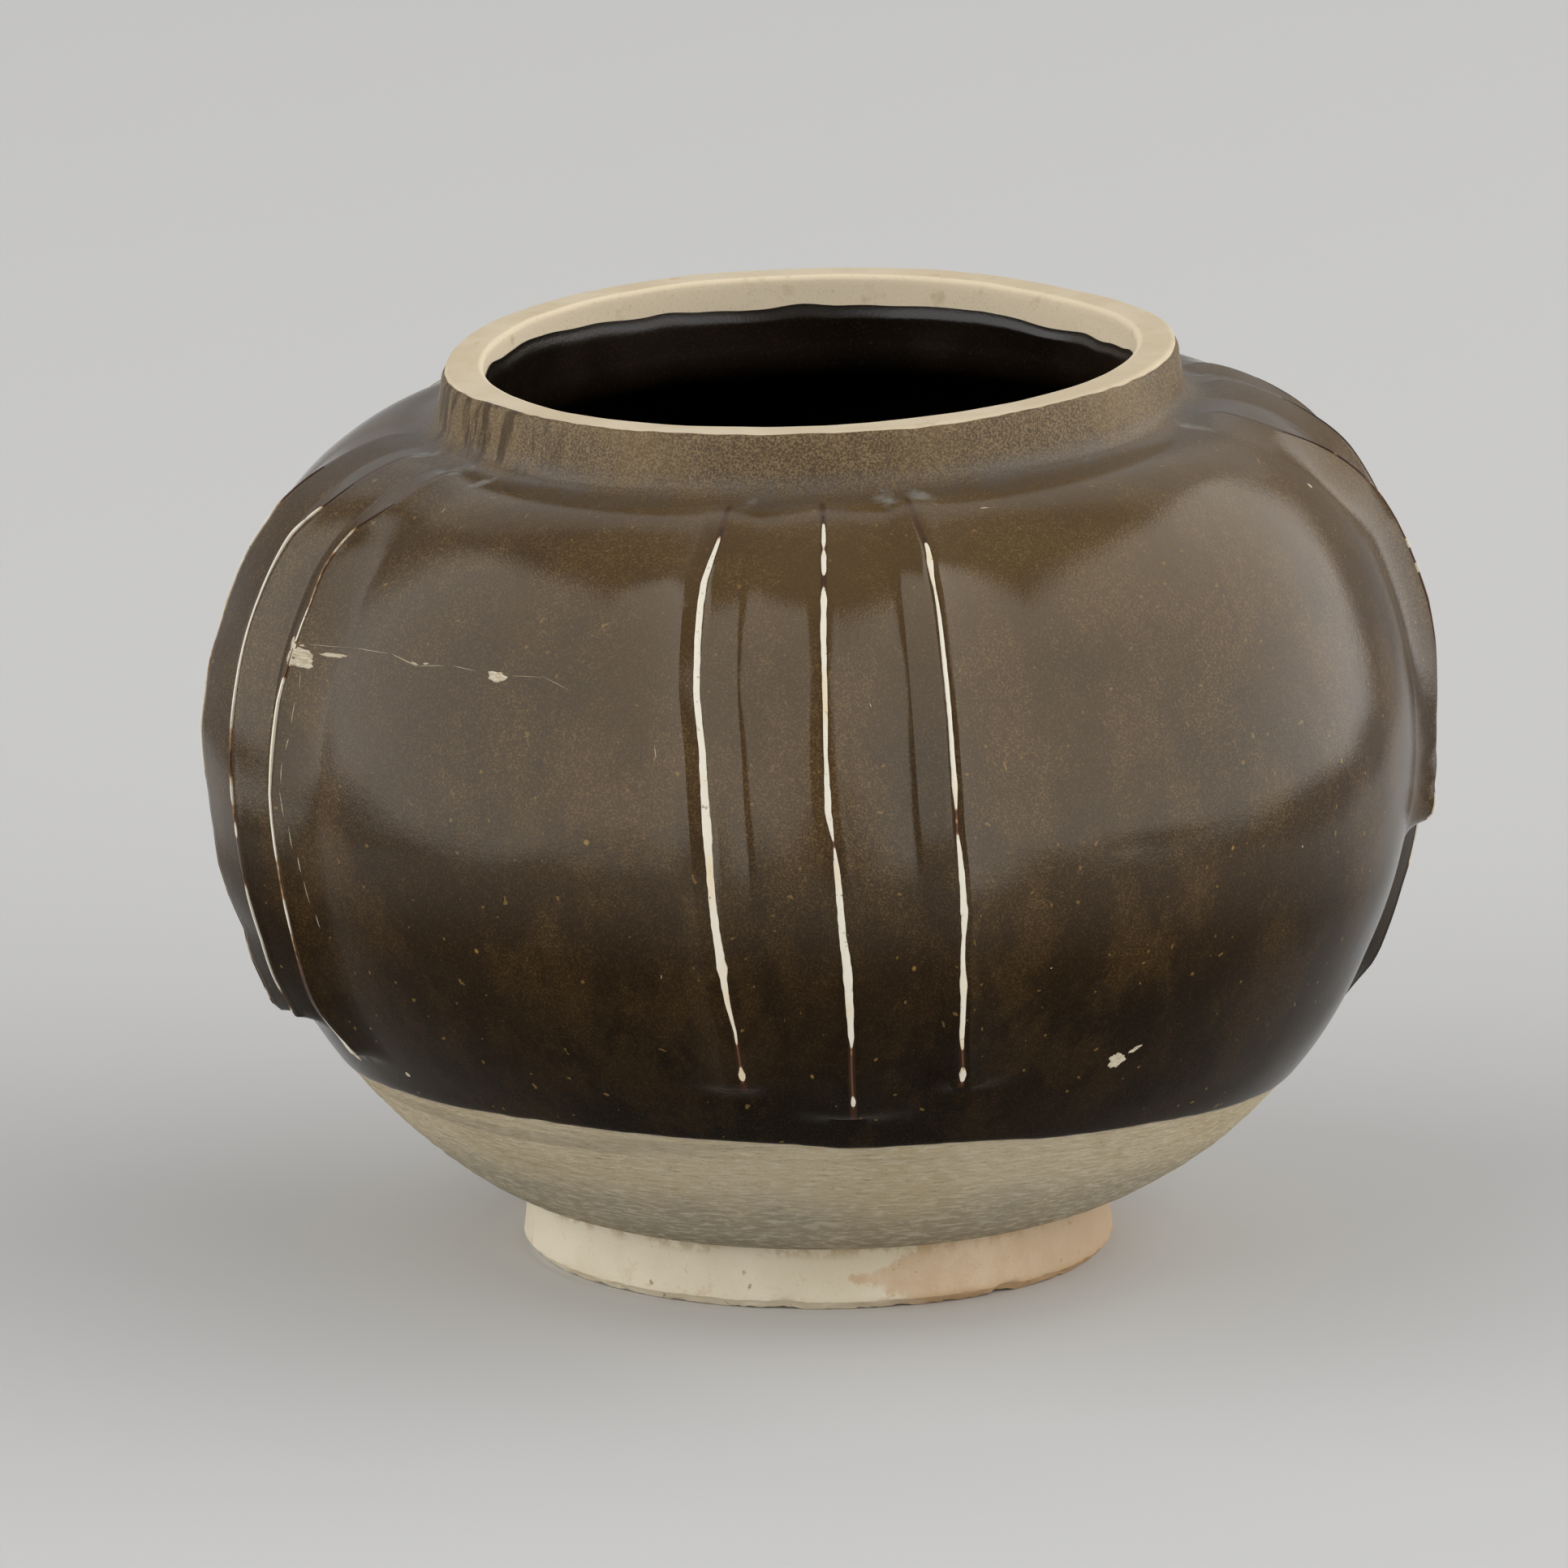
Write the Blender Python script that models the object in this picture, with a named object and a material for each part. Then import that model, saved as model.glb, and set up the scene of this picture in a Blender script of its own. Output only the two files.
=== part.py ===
"""A squat ribbed stoneware jar: a thrown globular wall, a luted collar, a turned foot ring, a glaze coat
inside and outside, and fifteen trailed slip ribs in five groups of three.

Metres, +Z up. The origin is on the jar's axis, on the plane that its foot ring stands on. The front is -Y."""

import math

import bmesh
import bpy
from mathutils import Vector

# Thrown wall, measured on its outside between the ribs
BODY_RADIUS = 0.0890
WIDEST_HEIGHT = 0.0780
SHOULDER_TOP_HEIGHT = 0.1260
SHOULDER_TOP_RADIUS = 0.0600
BELLY_FOOT_RADIUS = 0.0430
WALL_THICKNESS = 0.0052
FLOOR_THICKNESS = 0.0075
FLOOR_RADIUS = 0.0340
SHOULDER_CURVE = (2.05, 1.84)
BELLY_CURVE = (2.00, 1.42)

# Luted collar with its flattened lip
COLLAR_HEIGHT = 0.0100
COLLAR_JOINT_GAP = 0.0003
COLLAR_FOOT_RADIUS = 0.0557
LIP_RADIUS = 0.0543
LIP_WIDTH = 0.0058
LIP_ROUNDING = 0.0012
MOUTH_FLARE = 0.0005
MOUTH_TILT = math.radians(2.4)
MOUTH_SHIFT = -0.0012

# Turned foot ring
FOOT_HEIGHT = 0.0093
FOOT_RADIUS = 0.0440
FOOT_WAIST_RADIUS = 0.0435
FOOT_RING_WIDTH = 0.0072
FOOT_RING_TAPER = 0.0010
FOOT_BEVEL_WIDTH = 0.0014
FOOT_BEVEL_HEIGHT = 0.0022

# Glaze coats
COAT_THICKNESS = 0.0005
COAT_GAP = 0.0003
NECK_FILLET = 0.0008
BARE_LIP_OUTSIDE = 0.0015
WIPED_BAND_INSIDE = 0.0039
GLAZE_LINE_HEIGHT = 0.0312
GLAZE_LINE_FALL = 0.0012

# Trailed slip ribs
RIB_HEIGHT = 0.0034
RIB_WIDTH = 0.0022
RIB_CREST_WIDTH = 0.0012
RIB_END_HEIGHT = 0.0447
LONG_RIB_END_HEIGHT = 0.0400
RIB_RUN_IN = 0.0120
RIB_RUN_OUT = 0.0090
RIB_LEAN = math.radians(2.3)
BANK_WIDTH = 0.0098
BANK_HOLLOW_WIDTH = 0.0052
RIB_TOP_SHARE = 0.35
RIB_END_SHARE = 0.70
RIB_FLANK_SHARE = 0.62
RIB_BEAD_SHARE = 1.25
BANK_EDGE_SHARE = 0.76
BANK_HOLLOW_SHARE = 0.26
BANK_FADE_SHARE = 0.45
LEAN_MIDDLE_SHARE = 0.50

# Where each group of ribs is centred, turning from the front towards the right, and its ribs' pitch
RIB_GROUPS = {
    "front": math.radians(2.2),
    "right": math.radians(99.3),
    "back_right": math.radians(158.5),
    "back_left": math.radians(220.5),
    "left": math.radians(286.6),
}
RIB_PITCH = math.radians(11.8)
RIB_PLACES = {"1": -1, "2": 0, "3": 1}

# How finely round forms are divided
TURN_STEPS = 48
INNER_COAT_STEPS = 32
SHOULDER_STEPS = 7
BELLY_STEPS = 3
BARE_BELLY_STEPS = 3
INSIDE_STEPS = 5
LIP_STEPS = 3
WIDEST_FACET = math.radians(6.0)
FULL_TURN = math.tau
MERGE_DISTANCE = 0.000001
SHARP_ANGLE = math.radians(35)

LIP_HEIGHT = SHOULDER_TOP_HEIGHT + COLLAR_HEIGHT
MOUTH_RADIUS = LIP_RADIUS - LIP_WIDTH
NECK_HOLE_RADIUS = MOUTH_RADIUS + MOUTH_FLARE
FLOOR_HEIGHT = FOOT_HEIGHT + FLOOR_THICKNESS

# Colour, roughness
BARE_STONEWARE = ((0.42, 0.37, 0.28), 0.85)
PALE_STONEWARE = ((0.66, 0.58, 0.45), 0.85)
BROWN_GLAZE = ((0.050, 0.034, 0.018), 0.28)
WHITE_SLIP = ((0.78, 0.72, 0.60), 0.55)


def smooth_step(value):
    """0 below 0, 1 above 1, and an even rise between."""
    value = min(max(value, 0.0), 1.0)
    return value * value * (3.0 - 2.0 * value)


def curved_radius(share, end_radius, widest_radius, curve):
    """The radius at a share of the way from the widest ring (0) to the end ring (1) of a rounded quarter."""
    rise, run = curve
    return end_radius + (widest_radius - end_radius) * (1.0 - share**rise) ** (1.0 / run)


def wall_radius(height):
    """The outside radius of the thrown wall at a height."""
    if height >= WIDEST_HEIGHT:
        share = (height - WIDEST_HEIGHT) / (SHOULDER_TOP_HEIGHT - WIDEST_HEIGHT)
        return curved_radius(min(share, 1.0), SHOULDER_TOP_RADIUS, BODY_RADIUS, SHOULDER_CURVE)
    share = (WIDEST_HEIGHT - height) / (WIDEST_HEIGHT - FOOT_HEIGHT)
    return curved_radius(min(share, 1.0), BELLY_FOOT_RADIUS, BODY_RADIUS, BELLY_CURVE)


def quarter(end_radius, end_height, widest_radius, curve, steps):
    """Points of a rounded quarter, from its end ring to the widest ring, closer together near the end."""
    points = []
    for step in range(steps + 1):
        angle = (1.0 - step / steps) * FULL_TURN / 4.0
        share = math.sin(angle) ** (2.0 / curve[0])
        height = WIDEST_HEIGHT + (end_height - WIDEST_HEIGHT) * share
        points.append((curved_radius(share, end_radius, widest_radius, curve), height))
    return points


def between(start, end, steps):
    """Values from start to end in even steps, without start."""
    return [start + (end - start) * step / steps for step in range(1, steps + 1)]


def outside_rings():
    """(radius, height) of the wall's rings, top to bottom, that the wall, the glaze and the ribs share."""
    shoulder = quarter(SHOULDER_TOP_RADIUS, SHOULDER_TOP_HEIGHT, BODY_RADIUS, SHOULDER_CURVE, SHOULDER_STEPS)
    heights = between(WIDEST_HEIGHT, RIB_END_HEIGHT, BELLY_STEPS) + [LONG_RIB_END_HEIGHT]
    return shoulder + [(wall_radius(height), height) for height in heights]


def inside_rings():
    """(radius, height) of the wall's inner face, from the underside of the shoulder to the floor."""
    inner_radius = BODY_RADIUS - WALL_THICKNESS
    top_height = SHOULDER_TOP_HEIGHT - WALL_THICKNESS
    shoulder = quarter(NECK_HOLE_RADIUS, top_height, inner_radius, SHOULDER_CURVE, INSIDE_STEPS)
    belly = quarter(FLOOR_RADIUS, FLOOR_HEIGHT, inner_radius, BELLY_CURVE, INSIDE_STEPS)
    return shoulder + belly[-2::-1]


def offset_directions(points):
    """For each point of an outline, the way out to its left, long enough to keep parallel sides parallel."""
    normals = []
    for (start_r, start_z), (end_r, end_z) in zip(points, points[1:]):
        length = math.hypot(end_r - start_r, end_z - start_z)
        normals.append(((start_z - end_z) / length, (end_r - start_r) / length))
    directions = []
    for before, after in zip([normals[0]] + normals, normals + [normals[-1]]):
        scale = 1.0 + before[0] * after[0] + before[1] * after[1]
        directions.append(((before[0] + after[0]) / scale, (before[1] + after[1]) / scale))
    return directions


def moved_out(points, distance):
    """An outline moved out by a distance, to its left."""
    ways = offset_directions(points)
    return [(r + way[0] * distance, z + way[1] * distance) for (r, z), way in zip(points, ways)]


def settle(point):
    """Leans the neck a little to one side, as the jar sagged in firing. The foot and belly stay upright."""
    x, y, z = point
    share = smooth_step((z - WIDEST_HEIGHT) / (SHOULDER_TOP_HEIGHT - WIDEST_HEIGHT))
    return Vector((x + MOUTH_SHIFT * share, y, z + math.tan(MOUTH_TILT) * x * share))


def around(radius, azimuth, height):
    """A point at a radius and height, turned from the front (-Y) towards the right (+X)."""
    return Vector((radius * math.sin(azimuth), -radius * math.cos(azimuth), height))


def make_material(name, colour, roughness):
    material = bpy.data.materials.new(name)
    material.use_nodes = True
    shader = material.node_tree.nodes["Principled BSDF"]
    shader.inputs["Base Color"].default_value = (*colour, 1.0)
    shader.inputs["Roughness"].default_value = roughness
    shader.inputs["Metallic"].default_value = 0.0
    material.diffuse_color = (*colour, 1.0)
    return material


def make_object(name, bm, finish, parent):
    """Settles a shape, shades it smooth and puts it in the scene under its own name and material."""
    for vert in bm.verts:
        vert.co = settle(vert.co)
    bmesh.ops.recalc_face_normals(bm, faces=bm.faces)
    mesh = bpy.data.meshes.new(name)
    bm.to_mesh(mesh)
    bm.free()
    mesh.shade_smooth()
    mesh.set_sharp_from_angle(angle=SHARP_ANGLE)
    mesh.materials.append(make_material(name, *finish))
    obj = bpy.data.objects.new(name, mesh)
    obj.parent = parent
    bpy.context.scene.collection.objects.link(obj)
    return obj


def lathe(outline, steps, closed):
    """Turns an outline of (radius, height) points about the axis. An open outline starts and ends on the axis."""
    bm = bmesh.new()
    verts = [bm.verts.new((radius, 0.0, height)) for radius, height in outline]
    edges = [bm.edges.new(pair) for pair in zip(verts, verts[1:])]
    if closed:
        edges.append(bm.edges.new((verts[-1], verts[0])))
    bmesh.ops.spin(bm, geom=verts + edges, axis=(0.0, 0.0, 1.0), cent=(0.0, 0.0, 0.0), angle=FULL_TURN, steps=steps)
    bmesh.ops.remove_doubles(bm, verts=bm.verts, dist=MERGE_DISTANCE)
    return bm


# Thrown wall: the outside, down over the belly, the flat underside, and back up inside to the neck hole
def build_body_wall(parent):
    covered = outside_rings()
    bare_heights = between(LONG_RIB_END_HEIGHT, FOOT_HEIGHT, BARE_BELLY_STEPS)
    outside = covered + [(wall_radius(height), height) for height in bare_heights]
    inside = [(NECK_HOLE_RADIUS, SHOULDER_TOP_HEIGHT)] + inside_rings()
    outline = [(0.0, FLOOR_HEIGHT)] + inside[::-1] + outside + [(0.0, FOOT_HEIGHT)]
    make_object("body_wall", lathe(outline, TURN_STEPS, closed=False), BARE_STONEWARE, parent)


# Collar: a short upright ring, a little wider at its foot, with a flat lip rounded at both edges
def lip_corner(radius, side):
    """The rounded edge of the lip, from the side of the collar to its flat top."""
    centre = (radius - side * LIP_ROUNDING, LIP_HEIGHT - LIP_ROUNDING)
    angles = [step / LIP_STEPS * FULL_TURN / 4.0 for step in range(LIP_STEPS + 1)]
    return [
        (centre[0] + side * LIP_ROUNDING * math.cos(angle), centre[1] + LIP_ROUNDING * math.sin(angle))
        for angle in angles
    ]


def build_neck_collar(parent):
    foot_height = SHOULDER_TOP_HEIGHT + COLLAR_JOINT_GAP
    outer = [(COLLAR_FOOT_RADIUS, foot_height)] + lip_corner(LIP_RADIUS, 1)
    inner = lip_corner(MOUTH_RADIUS, -1)[::-1] + [(NECK_HOLE_RADIUS, foot_height)]
    make_object("neck_collar", lathe(outer + inner, TURN_STEPS, closed=True), PALE_STONEWARE, parent)


# Foot ring: slightly waisted outside, bevelled at the edge it stands on, hollow under the floor
def build_foot_ring(parent):
    outline = [
        (BELLY_FOOT_RADIUS, FOOT_HEIGHT),
        (FOOT_WAIST_RADIUS, (FOOT_HEIGHT + FOOT_BEVEL_HEIGHT) / 2.0),
        (FOOT_RADIUS, FOOT_BEVEL_HEIGHT),
        (FOOT_RADIUS - FOOT_BEVEL_WIDTH, 0.0),
        (FOOT_RADIUS - FOOT_RING_WIDTH, 0.0),
        (FOOT_RADIUS - FOOT_RING_WIDTH - FOOT_RING_TAPER, FOOT_HEIGHT),
    ]
    make_object("foot_ring", lathe(outline, TURN_STEPS, closed=True), PALE_STONEWARE, parent)


# Inner coat: follows the collar and the wall inside, from the wiped band down over the floor
def build_inner_glaze(parent):
    top_height = LIP_HEIGHT - WIPED_BAND_INSIDE
    face = [(MOUTH_RADIUS, top_height), (NECK_HOLE_RADIUS, SHOULDER_TOP_HEIGHT)] + inside_rings()
    face = face + [(0.0, FLOOR_HEIGHT)]
    outer = moved_out(face, -COAT_GAP)
    inner = moved_out(face, -COAT_GAP - COAT_THICKNESS)
    outer[-1] = (0.0, outer[-1][1])
    inner[-1] = (0.0, inner[-1][1])
    outline = outer[::-1] + inner
    make_object("inner_glaze", lathe(outline, INNER_COAT_STEPS, closed=False), BROWN_GLAZE, parent)


# Slip ribs: where each one runs, and how high it stands
def rib_azimuth(rib, height):
    """The rib's middle line leans from its top to its end, mostly over the belly."""
    run = (SHOULDER_TOP_HEIGHT - height) / (SHOULDER_TOP_HEIGHT - LONG_RIB_END_HEIGHT)
    return rib["azimuth"] + RIB_LEAN * (smooth_step(run) - smooth_step(LEAN_MIDDLE_SHARE))


def rib_height(rib, height):
    """How far the crest stands off the wall: low at the top, full over the belly, blunt at the end."""
    top_height = outside_rings()[1][1]
    rise = RIB_TOP_SHARE + (1.0 - RIB_TOP_SHARE) * smooth_step((top_height - height) / RIB_RUN_IN)
    fall = RIB_END_SHARE + (1.0 - RIB_END_SHARE) * smooth_step((height - rib["end_height"]) / RIB_RUN_OUT)
    return RIB_HEIGHT * min(rise, fall)


def all_ribs():
    """Each rib's name, its azimuth, and its end height, in order round the jar."""
    ribs = []
    for group, centre in RIB_GROUPS.items():
        for number, place in RIB_PLACES.items():
            end_height = RIB_END_HEIGHT if place else LONG_RIB_END_HEIGHT
            azimuth = centre + place * RIB_PITCH
            ribs.append({"name": f"slip_rib_{group}_{number}", "azimuth": azimuth, "end_height": end_height})
    return sorted(ribs, key=lambda rib: rib["azimuth"])


def on_rib_ring(rib, ring):
    """True for the rings that the rib's slot in the glaze runs through, its two ends included."""
    rings = outside_rings()
    return rib["end_height"] - MERGE_DISTANCE <= ring[1] <= rings[1][1] + MERGE_DISTANCE


def rib_stations(rib):
    """(radius, height) along the rib: the shared rings, with both ends drawn in by the gap to the glaze."""
    stations = [ring for ring in outside_rings() if on_rib_ring(rib, ring)]
    for end, inner in ((0, 1), (-1, -2)):
        start = Vector(stations[end])
        span = Vector(stations[inner]) - start
        stations[end] = tuple(start + span.normalized() * COAT_GAP)
    return stations


def build_rib(rib, parent):
    """Lofts the rib's section along its stations and closes both ends."""
    stations = rib_stations(rib)
    ways = offset_directions(stations)
    bm = bmesh.new()
    loops = []
    for place, ((radius, height), way) in enumerate(zip(stations, ways)):
        azimuth = rib_azimuth(rib, height)
        across = Vector((math.cos(azimuth), math.sin(azimuth), 0.0))
        out = around(way[0], azimuth, way[1])
        foot = around(radius, azimuth, height)
        crest = rib_height(rib, height)
        bead = RIB_BEAD_SHARE if place == len(stations) - 1 else 1.0
        half_foot = RIB_WIDTH / 2.0
        half_crest = min(RIB_CREST_WIDTH / 2.0 * bead, half_foot)
        flank = COAT_GAP + (crest - COAT_GAP) * RIB_FLANK_SHARE
        section = (
            (-half_foot, COAT_GAP),
            (half_foot, COAT_GAP),
            (half_foot, flank),
            (half_crest, crest),
            (-half_crest, crest),
            (-half_foot, flank),
        )
        loops.append([bm.verts.new(foot + across * side + out * up) for side, up in section])
    for upper, lower in zip(loops, loops[1:]):
        for corner in range(len(upper)):
            after = (corner + 1) % len(upper)
            bm.faces.new((upper[corner], upper[after], lower[after], lower[corner]))
    bm.faces.new(loops[0])
    bm.faces.new(loops[-1][::-1])
    make_object(rib["name"], bm, WHITE_SLIP, parent)


# Outer coat: one skin round the collar, shoulder and belly. It banks up against each rib and leaves the crest bare.
def glaze_line_height(azimuth):
    """The lower edge of the glaze, a little lower on the right and at the back than on the left."""
    return GLAZE_LINE_HEIGHT - GLAZE_LINE_FALL * math.sin(azimuth)


def glaze_columns(ribs):
    """The coat's columns in order round the jar, each (rib, half-width off its middle, bank share, opens slot) or a
    share of the way from one rib's bank to the next."""
    columns = []
    half_slot = RIB_WIDTH / 2.0 + COAT_GAP
    half_hollow = BANK_HOLLOW_WIDTH / 2.0
    half_bank = BANK_WIDTH / 2.0
    for place, rib in enumerate(ribs):
        follower = ribs[(place + 1) % len(ribs)]
        turn = FULL_TURN if place == len(ribs) - 1 else 0.0
        columns.append({"rib": rib, "off": -half_bank, "bank": 0.0})
        columns.append({"rib": rib, "off": -half_hollow, "bank": BANK_HOLLOW_SHARE})
        columns.append({"rib": rib, "off": -half_slot, "bank": BANK_EDGE_SHARE, "opens": rib})
        columns.append({"rib": rib, "off": half_slot, "bank": BANK_EDGE_SHARE})
        columns.append({"rib": rib, "off": half_hollow, "bank": BANK_HOLLOW_SHARE})
        columns.append({"rib": rib, "off": half_bank, "bank": 0.0})
        open_arc = follower["azimuth"] + turn - rib["azimuth"] - BANK_WIDTH / BODY_RADIUS
        count = max(math.ceil(open_arc / WIDEST_FACET), 1)
        for step in range(1, count):
            columns.append({"rib": rib, "next": follower, "turn": turn, "share": step / count})
    return columns


def column_azimuth(column, radius, height):
    if "next" not in column:
        return rib_azimuth(column["rib"], height) + column["off"] / radius
    half_bank = BANK_WIDTH / 2.0 / radius
    start = rib_azimuth(column["rib"], height) + half_bank
    end = rib_azimuth(column["next"], height) + column["turn"] - half_bank
    return start + (end - start) * column["share"]


def bank_height(column, ring, on_banks):
    """How much thicker than the plain coat the glaze is at a column and a ring."""
    if "next" in column or not on_banks:
        return 0.0
    rib = column["rib"]
    bank = column["bank"] * rib_height(rib, ring[1])
    return bank if on_rib_ring(rib, ring) else bank * BANK_FADE_SHARE


def build_outer_glaze(ribs, parent):
    collar_slope = (COLLAR_FOOT_RADIUS - LIP_RADIUS) / (COLLAR_HEIGHT - LIP_ROUNDING)
    top_height = LIP_HEIGHT - BARE_LIP_OUTSIDE
    top_radius = COLLAR_FOOT_RADIUS - collar_slope * (top_height - SHOULDER_TOP_HEIGHT)
    on_collar = [(top_radius, top_height), (COLLAR_FOOT_RADIUS, SHOULDER_TOP_HEIGHT)]
    on_wall = outside_rings()
    columns = glaze_columns(ribs)
    bm = bmesh.new()
    skins = []
    first_wall = len(on_collar)
    for column in columns:
        middle = column_azimuth(column, BODY_RADIUS, GLAZE_LINE_HEIGHT)
        line_height = glaze_line_height(middle)
        rings = on_collar + on_wall + [(wall_radius(line_height), line_height)]
        ways = offset_directions(rings)
        inner, outer = [], []
        for place, ((radius, height), way) in enumerate(zip(rings, ways)):
            azimuth = column_azimuth(column, max(radius, SHOULDER_TOP_RADIUS), height)
            on_banks = first_wall <= place < len(rings) - 1
            thick = COAT_THICKNESS + bank_height(column, (radius, height), on_banks)
            if place == first_wall - 1:
                thick += NECK_FILLET
            for skin, rise in ((inner, COAT_GAP), (outer, COAT_GAP + thick)):
                skin.append(bm.verts.new(around(radius + way[0] * rise, azimuth, height + way[1] * rise)))
        skins.append((inner, outer))
    for place, column in enumerate(columns):
        left, right = skins[place], skins[(place + 1) % len(columns)]
        rib = column.get("opens")
        for row in range(len(left[0]) - 1):
            wall_row = row - first_wall
            ends = on_wall[max(wall_row, 0) : wall_row + 2]
            if rib and wall_row >= 0 and len(ends) == 2 and all(on_rib_ring(rib, ring) for ring in ends):
                continue
            for skin, order in ((0, 1), (1, -1)):
                corners = (left[skin][row], right[skin][row], right[skin][row + 1], left[skin][row + 1])
                bm.faces.new(corners[::order])
    partner = {}
    for inner, outer in skins:
        partner.update(zip(inner, outer))
    for edge in [edge for edge in bm.edges if edge.is_boundary]:
        start, end = edge.verts
        if start in partner and end in partner:
            bm.faces.new((start, end, partner[end], partner[start]))
    make_object("outer_glaze", bm, BROWN_GLAZE, parent)


def main():
    for old in list(bpy.data.objects):
        bpy.data.objects.remove(old)
    jar = bpy.data.objects.new("jar", None)
    bpy.context.scene.collection.objects.link(jar)
    build_body_wall(jar)
    build_neck_collar(jar)
    build_foot_ring(jar)
    build_inner_glaze(jar)
    ribs = all_ribs()
    build_outer_glaze(ribs, jar)
    for rib in ribs:
        build_rib(rib, jar)


main()
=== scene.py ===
# %% [markdown]
# # A ribbed stoneware jar
# The jar is a squat thrown pot with a short collar, a dark brown glaze that stops above the foot, and
# trailed ribs of white slip that the glaze broke from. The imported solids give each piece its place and
# its size. This file builds the finer pieces that stand for them, and gives each its fired surface.

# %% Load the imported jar
import math

import bpy
import numpy as np
from mathutils import Matrix, Vector, noise


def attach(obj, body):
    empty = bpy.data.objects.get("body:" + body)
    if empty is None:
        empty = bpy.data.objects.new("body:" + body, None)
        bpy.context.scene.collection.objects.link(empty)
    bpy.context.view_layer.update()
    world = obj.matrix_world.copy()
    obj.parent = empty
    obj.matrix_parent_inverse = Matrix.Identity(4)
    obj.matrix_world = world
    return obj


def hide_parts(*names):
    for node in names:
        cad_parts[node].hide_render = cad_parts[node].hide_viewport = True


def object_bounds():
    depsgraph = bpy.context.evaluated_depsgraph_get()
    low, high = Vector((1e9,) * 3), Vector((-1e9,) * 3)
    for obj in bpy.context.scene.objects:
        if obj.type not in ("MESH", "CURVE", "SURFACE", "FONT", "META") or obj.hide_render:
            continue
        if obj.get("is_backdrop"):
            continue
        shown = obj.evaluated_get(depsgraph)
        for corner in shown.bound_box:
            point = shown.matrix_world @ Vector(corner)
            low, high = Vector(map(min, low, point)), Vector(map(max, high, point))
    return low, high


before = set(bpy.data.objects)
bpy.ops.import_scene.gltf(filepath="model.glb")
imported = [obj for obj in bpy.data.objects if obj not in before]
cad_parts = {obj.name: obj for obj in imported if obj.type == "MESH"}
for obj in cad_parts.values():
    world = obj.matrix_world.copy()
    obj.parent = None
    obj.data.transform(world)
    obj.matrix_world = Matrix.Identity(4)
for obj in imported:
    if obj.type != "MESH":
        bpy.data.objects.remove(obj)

cad_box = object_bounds()
print("solids:", len(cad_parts), "box:", [tuple(round(v, 5) for v in corner) for corner in cad_box])

# %% [markdown]
# ## Camera
# The photograph was taken from a little above with a long lens, so the ellipses of the mouth and the foot
# are almost equally open. A lens that frames 234 mm from 4 m away gives that flat perspective. The jar
# stands a little right of the middle and low in the frame, so the camera aims at a point beside its axis.

# %% Camera
IMAGE_PIXELS = 1932
PIXELS_PER_METRE = 8260.0
CAMERA_DISTANCE = 4.0
CAMERA_ELEVATION = math.radians(13.8)
AIM = Vector((-0.00508, 0.0, 0.06966))
SENSOR_WIDTH = 36.0

back_to_camera = Vector((0.0, -math.cos(CAMERA_ELEVATION), math.sin(CAMERA_ELEVATION)))
bpy.ops.object.camera_add(
    location=AIM + back_to_camera * CAMERA_DISTANCE,
    rotation=(math.pi / 2.0 - CAMERA_ELEVATION, 0.0, 0.0),
)
camera = bpy.context.object
camera.name = "camera"
camera.data.sensor_width = SENSOR_WIDTH
camera.data.lens = SENSOR_WIDTH * CAMERA_DISTANCE * PIXELS_PER_METRE / IMAGE_PIXELS
camera.data.clip_start = 0.1
camera.data.clip_end = 100.0
bpy.context.scene.camera = camera
print("lens:", round(camera.data.lens, 1), "mm")

# %% [markdown]
# ## Floor and light
# The jar stands on a long pale table that fills the frame and keeps the jar's shadow. The world is an even
# grey that lights the jar softly from all round and shows past the table's edge. Two wide soft lamps
# stand at the left and the right and reach below the table, as in the photograph: each shows in the glaze
# as a broad satin panel that ends low on the belly. A third one behind lights the lip and the shoulder.

# %% The world and the table
WORLD_LEVEL = 0.33
FLOOR_COLOUR = (0.66, 0.655, 0.645, 1.0)
FLOOR_WIDTH = 0.64
FLOOR_FRONT = -0.40
FLOOR_BACK = 1.60
FLOOR_DROP = 0.00005

bpy.context.scene.view_settings.view_transform = "Standard"
world = bpy.data.worlds.new("studio")
bpy.context.scene.world = world
world.use_nodes = True
sky = world.node_tree.nodes["Background"]
sky.inputs["Color"].default_value = (1.0, 1.0, 1.0, 1.0)
sky.inputs["Strength"].default_value = WORLD_LEVEL


def start_clean():
    """Leaves nothing selected, because an operator acts on all that is selected."""
    if bpy.context.object and bpy.context.object.mode != "OBJECT":
        bpy.ops.object.mode_set(mode="OBJECT")
    bpy.ops.object.select_all(action="DESELECT")


start_clean()
bpy.ops.mesh.primitive_plane_add(size=1.0, location=(0.0, (FLOOR_FRONT + FLOOR_BACK) / 2.0, -FLOOR_DROP))
floor = bpy.context.object
floor.scale = (FLOOR_WIDTH, FLOOR_BACK - FLOOR_FRONT, 1.0)
bpy.ops.object.transform_apply(location=True, rotation=True, scale=True)
floor.name = "floor"
floor_paint = bpy.data.materials.new("pale_floor")
floor_paint.use_nodes = True
matt = floor_paint.node_tree.nodes["Principled BSDF"]
matt.inputs["Base Color"].default_value = FLOOR_COLOUR
matt.inputs["Roughness"].default_value = 0.9
matt.inputs["Specular IOR Level"].default_value = 0.0
floor.data.materials.append(floor_paint)
floor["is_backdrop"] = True

print("table:", FLOOR_WIDTH, "by", FLOOR_BACK - FLOOR_FRONT, "m")

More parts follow.
